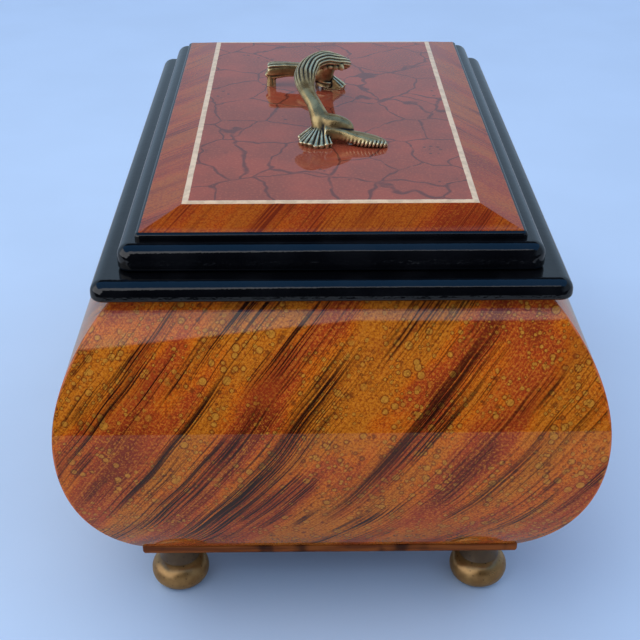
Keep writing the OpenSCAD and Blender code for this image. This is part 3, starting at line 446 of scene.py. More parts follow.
def wallTree(finish, sizes):
    b, given = newTree("wallRule", sizes)

    def outline(z, drop):
        up = z > given["Belly height"]
        radius = given["Upper radius"] * up + given["Lower radius"] * (1 - up)
        lift = z - given["Belly height"]
        return given["Belly out"] - radius + ((radius - drop) ** 2 - lift * lift).math("SQRT"), radius, lift

    def store(shape, label, value, data_type="FLOAT", domain="POINT", **more):
        return b.geo("StoreNamedAttribute", {"Geometry": shape, "Name": label, "Value": value, **more},
                     data_type=data_type, domain=domain)

    sheet = b.geo("MeshGrid", {"Size X": 2, "Vertices X": given["Columns"], "Vertices Y": given["Rows"]}, "Mesh")
    px, py, pz = b.split(b.geo("InputPosition", {}))
    z = given["Foot"] + (py + 0.5) * given["Rise"]
    out = outline(z, 0)[0]
    sheet = b.geo("SetPosition", {"Geometry": sheet, "Position": b.join(
        px * (given["Half span"] + out), -(given["Half depth"] + out), z)})
    # unrolled sizes for the paint
    px, py, pz = b.split(b.geo("InputPosition", {}))
    out, radius, lift = outline(pz, 0)
    arc = radius * (lift / radius).math("ARCSINE")
    sheet = store(sheet, "UVMap", b.join(px, arc, 0), "FLOAT2", "CORNER")
    sheet = store(sheet, "toEdge", given["Half span"] + out - abs(px))
    inward = outline(pz, given["Thickness"])[0] - out
    inner = b.geo("ExtrudeMesh", {"Mesh": sheet, "Offset": b.join(px / (given["Half span"] + out) * inward, -inward, 0),
                                  "Offset Scale": 1, "Individual": False}, None, mode="FACES")
    top = Wire(b, inner.outputs["Top"])
    inner = store(Wire(b, inner.outputs["Mesh"]), "inside", 1, domain="FACE", Selection=top)
    both = b.geo("JoinGeometry", {"Geometry": [inner, b.geo("FlipFaces", {"Mesh": sheet})]})
    return closeTree(b, b.geo("MergeByDistance", {"Geometry": both, "Distance": 1e-6}), finish)


def bentPanel(name, node, side, finish, make, foot, rise, drop=0):
    # drop is how far inside the wall's outer face the panel's own outer face lies
    turn, span, depth = sides[side]
    sizes = {"Half span": wall[span] / 2 - make["mitreGap"], "Half depth": wall[depth] / 2, "Foot": foot, "Rise": rise,
             "Belly height": wall["bellyZ"], "Belly out": wall["bellyOut"] - drop, "Upper radius": wall["upperR"] - drop,
             "Lower radius": wall["lowerR"] - drop, "Thickness": make["thick"], "Columns": make["columns"][span],
             "Rows": make["rows"]}
    panel = growPiece(name, wallTree, finish, sizes)
    panel.data.transform(Matrix.Rotation(radians(turn), 4, "Z"))
    addModifier(panel, "BEVEL", width=make["edge"], segments=make["edgeSteps"], limit_method="ANGLE",
                angle_limit=radians(30), harden_normals=True)
    settle(panel)
    standFor(panel, "case", node)


for side, streaks, shift in (("Front", frontStreaks, 0), ("Right", (), 1.7), ("Back", (), 3.1), ("Left", (), 5.3)):
    paintHere = newFinish("lacqueredPaint" + side, gloss, wallFinish(streaks, shift))
    bentPanel("wall" + side, "case_" + side.lower(), side, paintHere, wall, wall["foot"], wall["rise"])
print("walls")


# black mouldings keep their CAD shapes, the finish is a brushed-on gloss lacquer
def blackLacquer(b):
    place = b.place()
    tone = b.smooth(b.noise(place, 60, 3), 0.4, 0.7)
    brushed = b.noise(place, 140, 3) + b.noise(place, 620) * 0.6
    return (b.mix(tone, (0.0012, 0.0015, 0.0025), (0.003, 0.0035, 0.005)), b.bump(brushed, 0.0001, 0.6),
            b.smooth(b.noise(place, 1500), 0.3, 0.7, 0.03, 0.09))


def dress(finish, *names):
    for n in names:
        recoat(nodes[n], finish)


dress(newFinish("blackGloss", {"IOR": 1.5}, blackLacquer), "rim_moulding", "lid_moulding")
print("black mouldings")

# lid crown: sloping border, cream line and crackled panel in one turned plate
crown = {
    "halfW": 0.0723, "halfL": 0.1223, "baseZ": 0.1736, "topZ": 0.1788, "panelIn": 0.0163, "lineW": 0.0025, "soft": 0.0004,
    "panel": (0.25, 0.052, 0.03), "panelDark": (0.19, 0.044, 0.027), "crackle": (0.085, 0.022, 0.018),
    "fleck": (0.36, 0.1, 0.05), "cream": (0.62, 0.49, 0.37), "endTurn": 60, "leftTurn": 12, "rightTurn": -40,
}


def crownFinish(b):
    place = b.place()
    x, y, z = b.split(place)
    inX, inY = crown["halfW"] - abs(x), crown["halfL"] - abs(y)
    inset = inX.math("MINIMUM", inY)
    # border paint turns at the mitres
    onSide = inX < inY
    steep, flatWay, downWay = (radians(crown[k]) for k in ("endTurn", "leftTurn", "rightTurn"))
    onRight = (x > 0) * onSide
    onLeft = onSide - onRight
    sine, cosine = ((1 - onSide) * way(steep) + onLeft * way(flatWay) + onRight * way(downWay) for way in (sin, cos))
    turned = b.mix(0.6, combedPaint(b, x, y, *turnedAxes(x, y, sine, cosine), (), 7.7, 0.2), paint["deep"])
    wear = b.noise(place, 300) - 0.5
    fromLine, halfLine = abs(inset - crown["panelIn"] + wear * 0.0003), crown["lineW"] / 2
    line = b.smooth(fromLine, halfLine + 0.0001, halfLine - 0.0002)
    inside = b.smooth(inset, crown["panelIn"], crown["panelIn"] + 0.0004)
    # crackle network of irregular cells with speckle groups
    bend = b.node("TexNoise", {}, {"Vector": place, "Scale": 55, "Detail": 2}, "Color")
    bend = b.node("VectorMath", {"operation": "SCALE"}, {0: bend, "Scale": 0.012})
    bent = b.node("VectorMath", {"operation": "ADD"}, {0: place, 1: bend})
    net = b.cells(bent, 38, "DISTANCE_TO_EDGE")
    ink = b.noise(place, 170)
    crackle = b.smooth(net, 0.006, 0.018 + ink * 0.022, 1, 0) * b.smooth(ink, 0.25, 0.5, 0.35, 0.85)
    speckle = b.smooth(b.cells(place, 240), 0.26, 0.16) * b.smooth(b.noise(place, 46, 1), 0.6, 0.66)
    cloud = b.noise(place, 34, 4, 0.6)
    fleck = b.noise(place, 900)
    panel = b.layers(crown["panel"], (crown["panelDark"], cloud, 0.36, 0.64), (crown["fleck"], fleck, 0.5, 0.7, 0, 0.35))
    panel = b.mix(speckle * 0.8, b.mix(crackle, panel, crown["crackle"]), crown["crackle"])
    cream = b.mix(b.smooth(wear, -0.1, 0.15), crown["cream"], scaled(crown["cream"], 0.8))
    return b.mix(line, b.mix(inside, turned, panel), cream), orangePeel(b, place)


slope = (crown["topZ"] - crown["baseZ"]) / crown["panelIn"]
s, low, top, edge = crown["soft"], crown["baseZ"], crown["topZ"], crown["panelIn"]
section = [(0, low), (0, low + 0.0001), (s * 0.5, low + s * 0.6), (s * 1.6, low + slope * s * 1.6 + s * 0.1),
           (edge - s * 2, top - slope * s * 2), (edge, top - s * 0.12), (edge + s * 2, top)]
lidCrown = newPiece("lidCrown", roundedPlate(section, crown["halfW"], crown["halfL"], 0.0005, 3),
                    newFinish("lacqueredCrown", gloss, crownFinish), 60)
standFor(lidCrown, "lid", "lid_crown")
print("lid crown")

# bottom board: the same paint, darker, over a bull-nosed edge
board = {"halfW": 0.0805, "halfL": 0.1305, "low": 0.025, "high": 0.03, "corner": 0.0012, "nose": 0.0013}


def boardFinish(b):
    place = b.place()
    x, y, z = b.split(place)
    length = b.noise(b.join(x * 0.5, y * 0.5, z * 7), 60, 3)
    bands = b.noise(b.join(x, y, z * 0.4), 75)
    colour = b.layers((0.105, 0.028, 0.008), ((0.2, 0.06, 0.014), length, 0.4, 0.62),
                      (paint["dark"], bands, 0.52, 0.66, 0, 0.85))
    return colour, orangePeel(b, place)


n, low, top = board["nose"], board["low"], board["high"]
section = [(n, low), (n * 0.3, low + n * 0.3), (0, low + n), (0, top - n), (n * 0.3, top - n * 0.3), (n, top)]
bottomBoard = newPiece("bottomBoard", roundedPlate(section, board["halfW"], board["halfL"], board["corner"], 4),
                       newFinish("lacqueredBoard", {**gloss, "Coat Weight": 0.45}, boardFinish), 50)
standFor(bottomBoard, "case", "bottom_board")

# bun feet: turned balls with a neck and a collar, antique gold rubbed over dark
bun = {
    "places": {"foot_front_left": (-1, -1), "foot_front_right": (1, -1), "foot_back_left": (-1, 1),
               "foot_back_right": (1, 1)},
    "x": 0.0665, "y": 0.1165, "radius": 0.0126, "ballHigh": 0.0136, "middle": 0.0002, "steps": 72,
    # radius and height up the neck and the collar
    "neck": [(0.0087, 0.0138), (0.0083, 0.015), (0.008, 0.0185), (0.0083, 0.0212), (0.0093, 0.0218), (0.0097, 0.0226),
             (0.0097, 0.0236), (0.0092, 0.0242), (0.0091, 0.02498)],
}


def giltFinish(b):
    place = b.place()
    z = b.split(place)[2]
    rub = b.noise(place, 130, 4, 0.6)
    # painted shade: darker up the neck under the plinth and near the bottom where the foot stands on the floor
    paintedShade = b.smooth(z, 0.0118, 0.0142) + b.smooth(z, 0, 0.0022, 0.6, 0)
    spots = b.smooth(b.cells(place, 420), 0.2, 0.1)
    colour = b.mix(b.smooth(rub, 0.35, 0.68), (0.3, 0.165, 0.058), (0.46, 0.27, 0.1))
    # the near-black is laid on as painted shade and in the small pits
    colour = b.mix((paintedShade * 0.85 + spots * 0.5).math("MINIMUM", 0.95), colour, (0.014, 0.009, 0.006))
    return (colour, b.bump(b.noise(place, 420, 3), 0.00012), b.smooth(rub, 0.3, 0.7, 0.27, 0.42),
            b.smooth(paintedShade, 0, 0.7, 0.75, 0.1))


def bunProfile():
    tall, wide = bun["ballHigh"] / 2, bun["radius"]
    points = [(bun["middle"], 0), (wide * 0.42, 0)]
    for k in range(2, 29):
        a = -pi / 2 + pi * k / 30
        points.append((wide * (0.4 + 0.6 * cos(a) ** 0.8), tall * (1 + sin(a))))
    return points + bun["neck"] + [(bun["middle"], bun["neck"][-1][1])]


gilt = newFinish("antiqueGold", {"Coat Weight": 0.25, "Coat Roughness": 0.2}, giltFinish)
for node, (sx, sy) in bun["places"].items():
    rings = [[Vector((sx * bun["x"] + r * cos(a), sy * bun["y"] + r * sin(a), z)) for a in turns(bun["steps"])]
             for r, z in bunProfile()]
    foot = newPiece("bun" + node.title().replace("_", ""), loft(rings), gilt, 50)
    standFor(foot, "case", node)
print("board and feet")

# cast pull: one S-shaped stem between two leafy feet, the same half turned about its middle
pull = {
    "centre": (-0.0015, -0.007, 0.1788), "voxel": 0.00032,
    # middle line of the front half, half widths across and over, flute depth
    "stem": [
        ((-0.6, -34.4, 1.5), 3.8, 3.2, 0), ((-0.9, -34.6, 5.2), 4.3, 3.4, 0), ((-1.8, -32.8, 9.4), 4.2, 3.6, 0),
        ((-4.2, -28.5, 13.9), 3.2, 3.1, 0), ((-6.4, -23.5, 16.4), 3.3, 3, 0), ((-7.7, -18, 18), 4, 3, 0.12),
        ((-8.2, -12.5, 19.4), 4.5, 3, 0.5), ((-7.9, -7.5, 21.1), 4.8, 3, 0.65), ((-5.2, -2.8, 23.7), 5, 3.1, 0.7),
        ((0, 0, 25.2), 4.8, 3.4, 0.7)],
    "flutes": 15,
    # leaf in front: x, middle y, low z, half depth, height, finger depth
    "leaf": [(0, -37, 0.8, 3.6, 7.4, 0), (4, -37.2, 1.7, 3.2, 6.2, 0), (8, -38, 1.6, 3, 5.3, 0.25),
             (12, -39, 0.5, 3.3, 5.5, 0.7), (16, -39.9, 0, 3.9, 5.4, 1), (20, -40.6, 0, 3.9, 4.6, 1.1),
             (23.6, -41.3, 0, 3.1, 3.7, 1.1), (26, -41.9, 0, 2, 2.7, 0.8), (27, -42.2, 0.1, 0.6, 1.2, 0)],
    # leaf at the back, seen from its smooth side: middle line, half depth, half height, rib depth
    "bar": [((1, 36.5, 6), 3.6, 4.4, 0), ((-5, 38.6, 7.4), 3, 3.5, 0), ((-11, 39.6, 7.9), 2.8, 3.2, 0.1),
            ((-17, 40, 8), 2.8, 3.4, 0.2), ((-21.5, 40, 7.7), 2.9, 3.7, 0.5), ((-24.2, 40, 7.5), 2.9, 3.7, 0.6),
            ((-26, 40, 7.2), 2.5, 3, 0.5), ((-26.6, 40, 7.4), 1.2, 1.2, 0.2)],
    "foot": [((-24.4, 40, 8), 2, 2.6, 0.3), ((-24.5, 40, 4), 1.9, 2.6, 0.3), ((-24.6, 40, 0), 2.2, 2.8, 0.2)],
    # smooth shoulder beside each stem foot: middle, half depth, half height
    "shoulder": [((-3.9, -31, 11.4), 0.7, 0.7), ((-2.8, -32, 10.4), 2.5, 2.3), ((-0.8, -33.4, 9.1), 3.7, 3.4),
                 ((2.2, -34.6, 8.1), 4.2, 4), ((5.7, -35.1, 7.5), 4, 4.2), ((8.8, -35.3, 6.9), 3.5, 3.6),
                 ((11, -35.6, 6.4), 2.7, 2.8), ((12.3, -35.8, 6), 1.5, 1.6), ((12.7, -35.9, 5.8), 0.3, 0.3)],
    # ribbed fan round each stem foot
    "fan": {"hub": (-1, -34.6, 0), "from": 158, "sweep": 140, "ribs": 9.5, "reach": 8.9, "low": 1.6, "rise": 7.4,
            "relief": 1.15},
    "shoulderAt": (1.6, -34.2, 9.4), "flowReach": 0.0074,
}


def spline(points, steps):
    # Catmull-Rom through lists of numbers
    padded = [[2 * a - c for a, c in zip(points[0], points[1])], *points,
              [2 * a - c for a, c in zip(points[-1], points[-2])]]
    out = []
    for j in range(len(points) - 1):
        p0, p1, p2, p3 = padded[j:j + 4]
        for k in range(steps):
            t = k / steps
            out.append([0.5 * (2 * b + (c - a) * t + (2 * a - 5 * b + 4 * c - d) * t * t + (3 * b - a - 3 * c + d) * t ** 3)
                        for a, b, c, d in zip(p0, p1, p2, p3)])
    return out + [list(points[-1])]


def clip(value):
    return min(1, max(0, value))


def squared(value, power):
    return copysign(abs(value) ** power, value)


def direction(line, j):
    return (Vector(line[min(j + 1, len(line) - 1)][:3]) - Vector(line[max(j - 1, 0)][:3])).normalized()


def tube(rows, sides, shape):
    # rows of (middle, across, over), shape gives the outline at an angle of a row
    return loft([[middle + across * u + over * v for u, v in (shape(j, a) for a in turns(sides))]
                 for j, (middle, across, over) in enumerate(rows)])


def stemShape():
    half = [[*p, *sizes] for p, *sizes in pull["stem"]]
    line, rows = spline(half + [[-r[0], -r[1], *r[2:]] for r in half[-2::-1]], 14), []
    for j, r in enumerate(line):
        along = direction(line, j)
        across = along.cross(Vector((0, 0, 1))).normalized()
        rows.append((Vector(r[:3]), across, across.cross(along)))

    def outline(j, a):
        wide, tall, flute = line[j][3:]
        ridge = abs(sin(pull["flutes"] * a / 2)) - 0.6
        grow = flute * ridge * (0.35 + 0.65 * max(0, sin(a) * 0.5 + 0.5))
        return (wide + grow) * cos(a), (tall + grow) * sin(a)

    return tube(rows, 120, outline)


def fanShape():
    # ribbed shell that spreads left and forward from the foot of the stem, its rim ragged
    fan, across, down, rings = pull["fan"], 170, 30, []
    for i in range(across + 1):
        share, ring = i / across, []
        turn = radians(fan["from"] + fan["sweep"] * share)
        order = int(fan["ribs"] * share)
        rib = abs(sin(pi * fan["ribs"] * share)) ** 0.75
        reach = fan["reach"] + 1.7 * sin(pi * share) + (0.9 + 0.5 * sin(order * 2.4)) * (rib - 0.35)
        tall, relief = fan["low"] + 0.35 * sin(order * 1.7), fan["relief"] * (rib - 0.5)
        for j in range(down + 1):
            v, fall = j / down / 0.9, (j / down - 0.9) / 0.1
            if v < 1:
                r = reach * v
                lift = tall + fan["rise"] * (1 - v) ** 1.05 + relief * sin(pi * min(0.92 * v + 0.08, 1)) ** 0.5
            else:
                r = reach * (1 - 0.06 * fall)
                lift = (tall + relief * 0.5) * (1 - fall)
            ring.append(Vector(fan["hub"]) + Vector((r * cos(turn), r * sin(turn), max(lift, 0))))
        rings.append(ring)
    verts, faces = loft(rings, False)
    low, row = len(verts), down + 1
    faces += [(i * row + down, low, (i + 1) * row + down) for i in range(across)]
    faces += [(*range(row), low), (*range(across * row + down, across * row - 1, -1), low)]
    return verts + [Vector(fan["hub"])], faces


def leafShape():
    # leaf whose front side ends in a row of fingers
    rings = []
    for x, y, low, wide, high, finger in spline(pull["leaf"], 22):
        ring = []
        for a in turns(84):
            c, s = cos(a), sin(a)
            tall = low + high / 2 * (1 + squared(s, 0.85))
            front = clip((0.3 - c) * 1.6) * clip((3.9 - tall) / 1.6)
            cut = abs(sin(pi * (x - 0.3 * tall) / 1.62)) ** 0.8 - 0.62
            vein = -0.4 * exp(-((degrees(a) - 100) / 16) ** 2) * clip((x - 6) / 6)
            grow = finger * (cut + 0.25) * front + vein
            ring.append(Vector((x, y + (wide + grow) * squared(c, 0.85), max(0, tall + grow * 0.5 * s))))
        rings.append(ring)
    return loft(rings)


def barShape(key, forward):
    # boxy rod along a line, ribbed at its end and fingered on the far side
    line = spline([[*p, *sizes] for p, *sizes in pull[key]], 14)
    rows = [(Vector(r[:3]), Vector(forward), Vector(forward).cross(direction(line, j)) * -1) for j, r in enumerate(line)]

    def outline(j, a):
        wide, tall, rib = line[j][3:]
        c, s = cos(a), sin(a)
        grow = rib * (abs(sin(4.5 * a)) ** 0.8 - 0.6)
        back = clip(c * 1.3) * 0.7 * (abs(sin(pi * line[j][0] / 1.8)) - 0.6)
        return (wide + grow + back) * squared(c, 0.55), (tall + grow) * squared(s, 0.55)

    return tube(rows, 96, outline)


def shoulderShape():
    line = spline([[*p, *sizes] for p, *sizes in pull["shoulder"]], 6)
    rows = [(Vector(r[:3]), Vector((0, 1, 0)), Vector((0, 0, 1))) for r in line]
    return tube(rows, 48, lambda j, a: (line[j][3] * cos(a), line[j][4] * sin(a)))


def lobeShape(n):
    # one small leaf tip under the front edge of the crest
    middle, rings = Vector((-2.4 + 2.5 * n, -3.7 + 0.7 * n, 23.3 - 0.3 * n)), []
    for j in range(13):
        a = pi * (j + 0.02) / 12.04
        rings.append([middle + Vector((1.7 * sin(a) * cos(t) - 0.7 * cos(a), 1.3 * sin(a) * sin(t),
                                       (1.7 + 0.4 * sin(2.2 * n)) * cos(a))) for t in turns(16)])
    return loft(rings)


def castPull():
    once = [stemShape(), leafShape(), barShape("bar", (0, 1, 0)), barShape("foot", (1, 0, 0))]
    twice = [fanShape(), shoulderShape(), *(lobeShape(n) for n in range(5))]
    verts, faces = [], []
    for turn, shapes in ((0, once + twice), (pi, twice)):
        spin = Matrix.Rotation(turn, 3, "Z")
        for points, cells in shapes:
            start = len(verts)
            verts += [spin @ p * mm + Vector(pull["centre"]) for p in points]
            faces += [tuple(start + k for k in f) for f in cells]
    return verts, faces


def recordHollows(piece, rounds=3):
    # how deep each point lies between its neighbours, kept as an attribute for dirt and polish
    bm = bmesh.new()
    bm.from_mesh(piece.data)
    bm.normal_update()
    around = [[e.other_vert(v) for e in v.link_edges] for v in bm.verts]
    depth = [0.0] * len(around)
    for v, near in zip(bm.verts, around):
        if near:
            middle, reach = sum((w.co for w in near), Vector()) / len(near), sum((w.co - v.co).length for w in near)
            depth[v.index] = (middle - v.co).dot(v.normal) / max(1e-9, reach / len(near))
    for _ in range(rounds):
        depth = [own / 2 + sum(depth[w.index] for w in near) / max(2, 2 * len(near)) for own, near in zip(depth, around)]
    bm.free()
    layer = piece.data.attributes.new("hollow", "FLOAT", "POINT")
    layer.data.foreach_set("value", depth)


brassLook = {"dark": (0.29, 0.2, 0.088), "mid": (0.64, 0.475, 0.215), "polished": (0.98, 0.86, 0.55),
             "dirt": (0.012, 0.011, 0.011)}


def brassFinish(b):
    place = b.place()
    hollow = b.stored("hollow")
    tone = b.noise(place, 190, 4, 0.6)
    dirt = b.smooth(hollow + (tone - 0.5) * 0.12, -0.04, 0.06)
    shine = b.smooth(hollow, -0.02, -0.12)
    colour = b.mix(b.smooth(tone, 0.38, 0.65), brassLook["dark"], brassLook["mid"])
    colour = b.mix(shine * 0.8, b.mix(dirt, colour, brassLook["dirt"]), brassLook["polished"])
    pits = b.smooth(b.cells(place, 900), 0.22, 0.1)
    return (colour, b.bump(b.noise(place, 500, 3) - pits * 0.4, 0.00014), dirt * 0.24 + 0.23 + tone * 0.08,
            b.smooth(dirt, 0.2, 1, 0.8, 0.55))


castHandle = bare("castPull", *castPull())
closeUp(castHandle, 1e-7)
addModifier(castHandle, "REMESH", mode="VOXEL", voxel_size=pull["voxel"])
settle(castHandle)
# the shoulders flow into the stem without a seam
flow = castHandle.vertex_groups.new(name="flow")
for turn in (0, pi):
    joint = Vector(pull["centre"]) + Matrix.Rotation(turn, 3, "Z") @ Vector(pull["shoulderAt"]) * mm
    for v in castHandle.data.vertices:
        near = 1 - (v.co - joint).length / pull["flowReach"]
        if near > 0:
            flow.add([v.index], min(1, near * 3), "REPLACE")
for group, factor, rounds in (("", 0.5, 1), ("flow", 0.6, 30)):
    addModifier(castHandle, "SMOOTH", factor=factor, iterations=rounds, vertex_group=group)
settle(castHandle)
castHandle.vertex_groups.clear()
recoat(castHandle, newFinish("antiqueBrass", {}, brassFinish))
castHandle.data.shade_smooth()
recordHollows(castHandle)
standFor(castHandle, "lid", "handle")
print("cast pull:", len(castHandle.data.polygons), "faces")

# velvet: short pile with brushed patches
velvetLook = {"deep": (0.125, 0.006, 0.013), "bright": (0.2, 0.01, 0.021)}


def velvetFinish(b):
    place = b.place()
    nap = b.noise(place, 38, 3, 0.6, 0.8)
    pile = b.noise(place, 2600, 2, 0.8)
    deep, bright = velvetLook["deep"], velvetLook["bright"]
    colour = b.layers(deep, (bright, nap, 0.38, 0.64), (deep, pile, 0.35, 0.7, 0, 0.45))
    return colour, b.bump(pile + nap * 0.5, 0.0004, 0.7)


velvet = newFinish("darkRedVelvet", {"Roughness": 0.95, "Sheen Weight": 0.8, "Sheen Roughness": 0.35,
                                     "Sheen Tint": (0.9, 0.35, 0.38, 1), "Specular IOR Level": 0.1}, velvetFinish)


def slabGrid(name, low, high, columns, rows, corner, notch=None):
    # a thin closed slab with a fine top and bottom, corners rounded in plan
    verts, faces, solid = [], [], {}
    middle, half = (low + high) / 2, (high - low) / 2
    per = (columns + 1) * (rows + 1)
    for side in (1, -1):
        for j in range(rows + 1):
            for i in range(columns + 1):
                x, y = (2 * i / columns - 1) * half.x, (2 * j / rows - 1) * half.y
                dx, dy = max(0, abs(x) - (half.x - corner)), max(0, abs(y) - (half.y - corner))
                cut = max(0, 1 - corner / max(hypot(dx, dy), corner))
                verts.append(middle + Vector((x - copysign(dx * cut, x), y - copysign(dy * cut, y), side * half.z)))
    for j in range(rows):
        for i in range(columns):
            x = middle.x + (2 * (i + 0.5) / columns - 1) * half.x
            y = middle.y + (2 * (j + 0.5) / rows - 1) * half.y
            if not (notch and notch[0].x < x < notch[1].x and notch[0].y < y < notch[1].y):
                a = j * (columns + 1) + i
                solid[i, j] = (a, a + 1, a + columns + 2, a + columns + 1)
    for (i, j), (a, b, c, d) in solid.items():
        faces += [(a, b, c, d), (d + per, c + per, b + per, a + per)]
        for (p, q), near in (((a, b), (i, j - 1)), ((b, c), (i + 1, j)), ((c, d), (i, j + 1)), ((d, a), (i - 1, j))):
            if near not in solid:
                faces.append((q, p, p + per, q + per))
    return newPiece(name, (verts, faces), velvet, 60)


def puffUp(piece, look, floorZ, ceilingZ, frames=20):
    # cloth pass: the cover swells under pressure, no point moves further than the cap
    addModifier(piece, "REMESH", mode="VOXEL", voxel_size=look["voxel"])
    settle(piece)
    start = [v.co.copy() for v in piece.data.vertices]
    cloth = addModifier(piece, "CLOTH")
    setAll(cloth.settings, quality=4, mass=0.25, tension_stiffness=20, compression_stiffness=20, use_pressure=True,
           uniform_pressure_force=look["pressure"])
    cloth.settings.effector_weights.gravity = 0
    cloth.collision_settings.use_collision = False
    setAll(cloth.point_cache, frame_start=1, frame_end=frames)
    for frameNumber in range(1, frames + 1):
        scene.frame_set(frameNumber)
    settle(piece)
    scene.frame_set(1)
    for v, before in zip(piece.data.vertices, start):
        move = v.co - before
        if move.length > look["cap"]:
            v.co = before + move * (look["cap"] / move.length)
        v.co.z = min(max(v.co.z, floorZ), ceilingZ)
    addModifier(piece, "SUBSURF", levels=1, render_levels=1)
    settle(piece)
    recoat(piece, velvet)
    piece.data.shade_smooth()


def padPiece(name, node, body, look, notch=None):
    low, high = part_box(node)
    pad = slabGrid(name, low + Vector(look["inLow"]), high - Vector(look["inHigh"]), *look["grid"], look["corner"], notch)
    puffUp(pad, look, low.z + look["floor"], high.z + look["ceiling"])
    standFor(pad, body, node)


# padded board under the lid, held flat against the wood, and floor pad round the movement housing
lidPadding = {"inLow": (0.001, 0.001, 0.0012), "inHigh": (0.001, 0.001, 0), "grid": (50, 90), "corner": 0.004,
              "voxel": 0.0021, "pressure": 5, "cap": 0.0014, "fill": 0.5, "floor": 0.0001, "ceiling": -0.00005}
floorPadding = {"inLow": (-0.0009, -0.0002, 0.0001), "inHigh": (-0.0009, -0.0002, -0.0006), "grid": (64, 110),
                "corner": 0.002, "voxel": 0.0019, "pressure": 3, "cap": 0.0012, "fill": 0.35, "floor": 0.0001,
                "ceiling": 1, "room": 0.0012}
padPiece("velvetLidPad", "lid_pad", "lid", lidPadding)
houseLow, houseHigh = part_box("movement_housing")
room = Vector.Fill(3, floorPadding["room"])
padPiece("velvetFloorPad", "floor_lining", "case", floorPadding, (houseLow - room, houseHigh + room))
print("velvet pads")

# velvet-covered cards follow the inner arcs of the walls
card = {"gap": 0.0001, "thick": 0.0013, "edge": 0.0005, "edgeSteps": 3, "mitreGap": 0.0002,
        "columns": {"sideW": 60, "sideL": 60}, "rows": 50, "lowGap": 0.0002, "ends": 0.0003}
for side in sides:
    node = "lining_" + side.lower()
    low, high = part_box(node)
    bentPanel("lining" + side, node, side, velvet, card, low.z + card["lowGap"],
              high.z - low.z - card["ends"], wall["thick"] + card["gap"])
print("wall linings")


# metals, wood and plastics of the hinges and the movement
def metalFinish(name, dark, light, roughLow, roughHigh, stretch, grainScale, stain):
    def build(b):
        x, y, z = b.split(b.place())
        grain = b.noise(b.join(x * stretch[0], y * stretch[1], z * stretch[2]), grainScale, 3, 0.6)
        cloud = b.noise(b.place(), 120, 3, 0.6)
        colour = b.layers(dark, (light, cloud, 0.35, 0.65), (scaled(dark, 0.55), grain, 0.3, 0.7, 0, stain))
        return colour, b.bump(grain, 0.00004), b.smooth(grain * 0.6 + cloud * 0.4, 0.3, 0.7, roughLow, roughHigh)
    return newFinish(name, {"Metallic": 1}, build)


# dark and light tone, roughness from and to, stretch of the grain, its scale and stain, and the parts it covers
metals = {
    "polishedBrass": ((0.62, 0.42, 0.15), (0.78, 0.58, 0.27), 0.16, 0.28, (1, 0.08, 1), 900, 0.3, "rim_hinge_leaves "
                      "lid_hinge_leaves hinge_pins rod_bracket crown_wheel winding_key drum_wheel drum_pinion"),
    "turnedBrass": ((0.58, 0.4, 0.15), (0.74, 0.55, 0.25), 0.18, 0.34, (1, 0.03, 0.03), 2400, 0.3, "drum"),
    "platedZinc": ((0.46, 0.46, 0.44), (0.62, 0.62, 0.6), 0.3, 0.46, (1, 1, 1), 700, 0.3,
                   "bedplate spring_plate spring_cup bearing_inner bearing_outer"),
    "brightSteel": ((0.44, 0.45, 0.47), (0.6, 0.61, 0.63), 0.18, 0.34, (1, 1, 0.1), 900, 0.3, "drum_pins drum_shaft "
                    "winding_arbor governor_shaft worm_spindle stop_lever lever_pin stop_rod foot_screws handle_screws"),
    "groundSteel": ((0.42, 0.43, 0.46), (0.58, 0.59, 0.62), 0.16, 0.32, (1, 0.04, 1), 3200, 0.5, "comb"),
    "blueSpringSteel": ((0.06, 0.07, 0.12), (0.13, 0.15, 0.24), 0.22, 0.34, (0.2, 0.2, 1), 900, 0.3, "mainspring"),
}
metalFinishes = {}
for name, (*look, parts) in metals.items():
    metalFinishes[name] = metalFinish(name, *look)
    dress(metalFinishes[name], *parts.split())


def nylonFinish(b):
    place = b.place()
    flow = b.noise(place, 90, 3, 0.6, 1.5)
    colour = b.mix(b.smooth(flow, 0.3, 0.7), (0.72, 0.7, 0.64), (0.84, 0.83, 0.79))
    return colour, b.bump(b.noise(place, 1800), 0.00004), b.smooth(flow, 0.3, 0.7, 0.42, 0.55)


def mahoganyFinish(b):
    x, y, z = b.split(b.place())
    grain = b.noise(b.join(x * 0.06, y, z), 420, 3, 0.6, 0.3)
    figure = b.noise(b.join(x * 0.3, y, z), 60, 3, 0.5, 0.8)
    pores = b.smooth(b.noise(b.join(x * 0.05, y, z), 1500, 1), 0.6, 0.7)
    colour = b.layers((0.13, 0.04, 0.016), ((0.24, 0.085, 0.034), figure, 0.35, 0.65),
                      ((0.075, 0.022, 0.01), grain, 0.45, 0.65, 0, 0.5))
    colour = b.mix(pores * 0.6, colour, (0.03, 0.01, 0.006))
    return colour, b.bump(grain - pores * 0.6, 0.00008), b.smooth(grain, 0.3, 0.7, 0.3, 0.42)


def acrylicFinish(b):
    place = b.place()
    smear = b.noise(place, 45, 4, 0.6)
    lengthways = b.node("VectorMath", {"operation": "MULTIPLY"}, {0: place, 1: (1, 0.05, 1)})
    scratch = b.smooth(b.noise(lengthways, 2200, 1), 0.68, 0.74)
    return (b.mix(smear, (0.86, 0.92, 0.92), (0.92, 0.96, 0.96)), b.bump(scratch, 0.00002, 0.4),
            b.smooth(smear, 0.4, 0.7, 0.03, 0.1))


mouldedNylon = newFinish("mouldedNylon", {"Subsurface Weight": 0.1, "Subsurface Radius": (mm, mm, mm)}, nylonFinish)
satinMahogany = newFinish("satinMahogany", {"Coat Weight": 0.3, "Coat Roughness": 0.25}, mahoganyFinish)
clearAcrylic = newFinish("clearAcrylic", {"Alpha": 0.2, "IOR": 1.49, "Coat Weight": 1, "Coat Roughness": 0.02},
                         acrylicFinish)

dress(satinMahogany, "movement_housing")
dress(clearAcrylic, "movement_window")
dress(mouldedNylon, "governor_frame", "governor_wheel", "fly")
print("metals, wood and plastics")


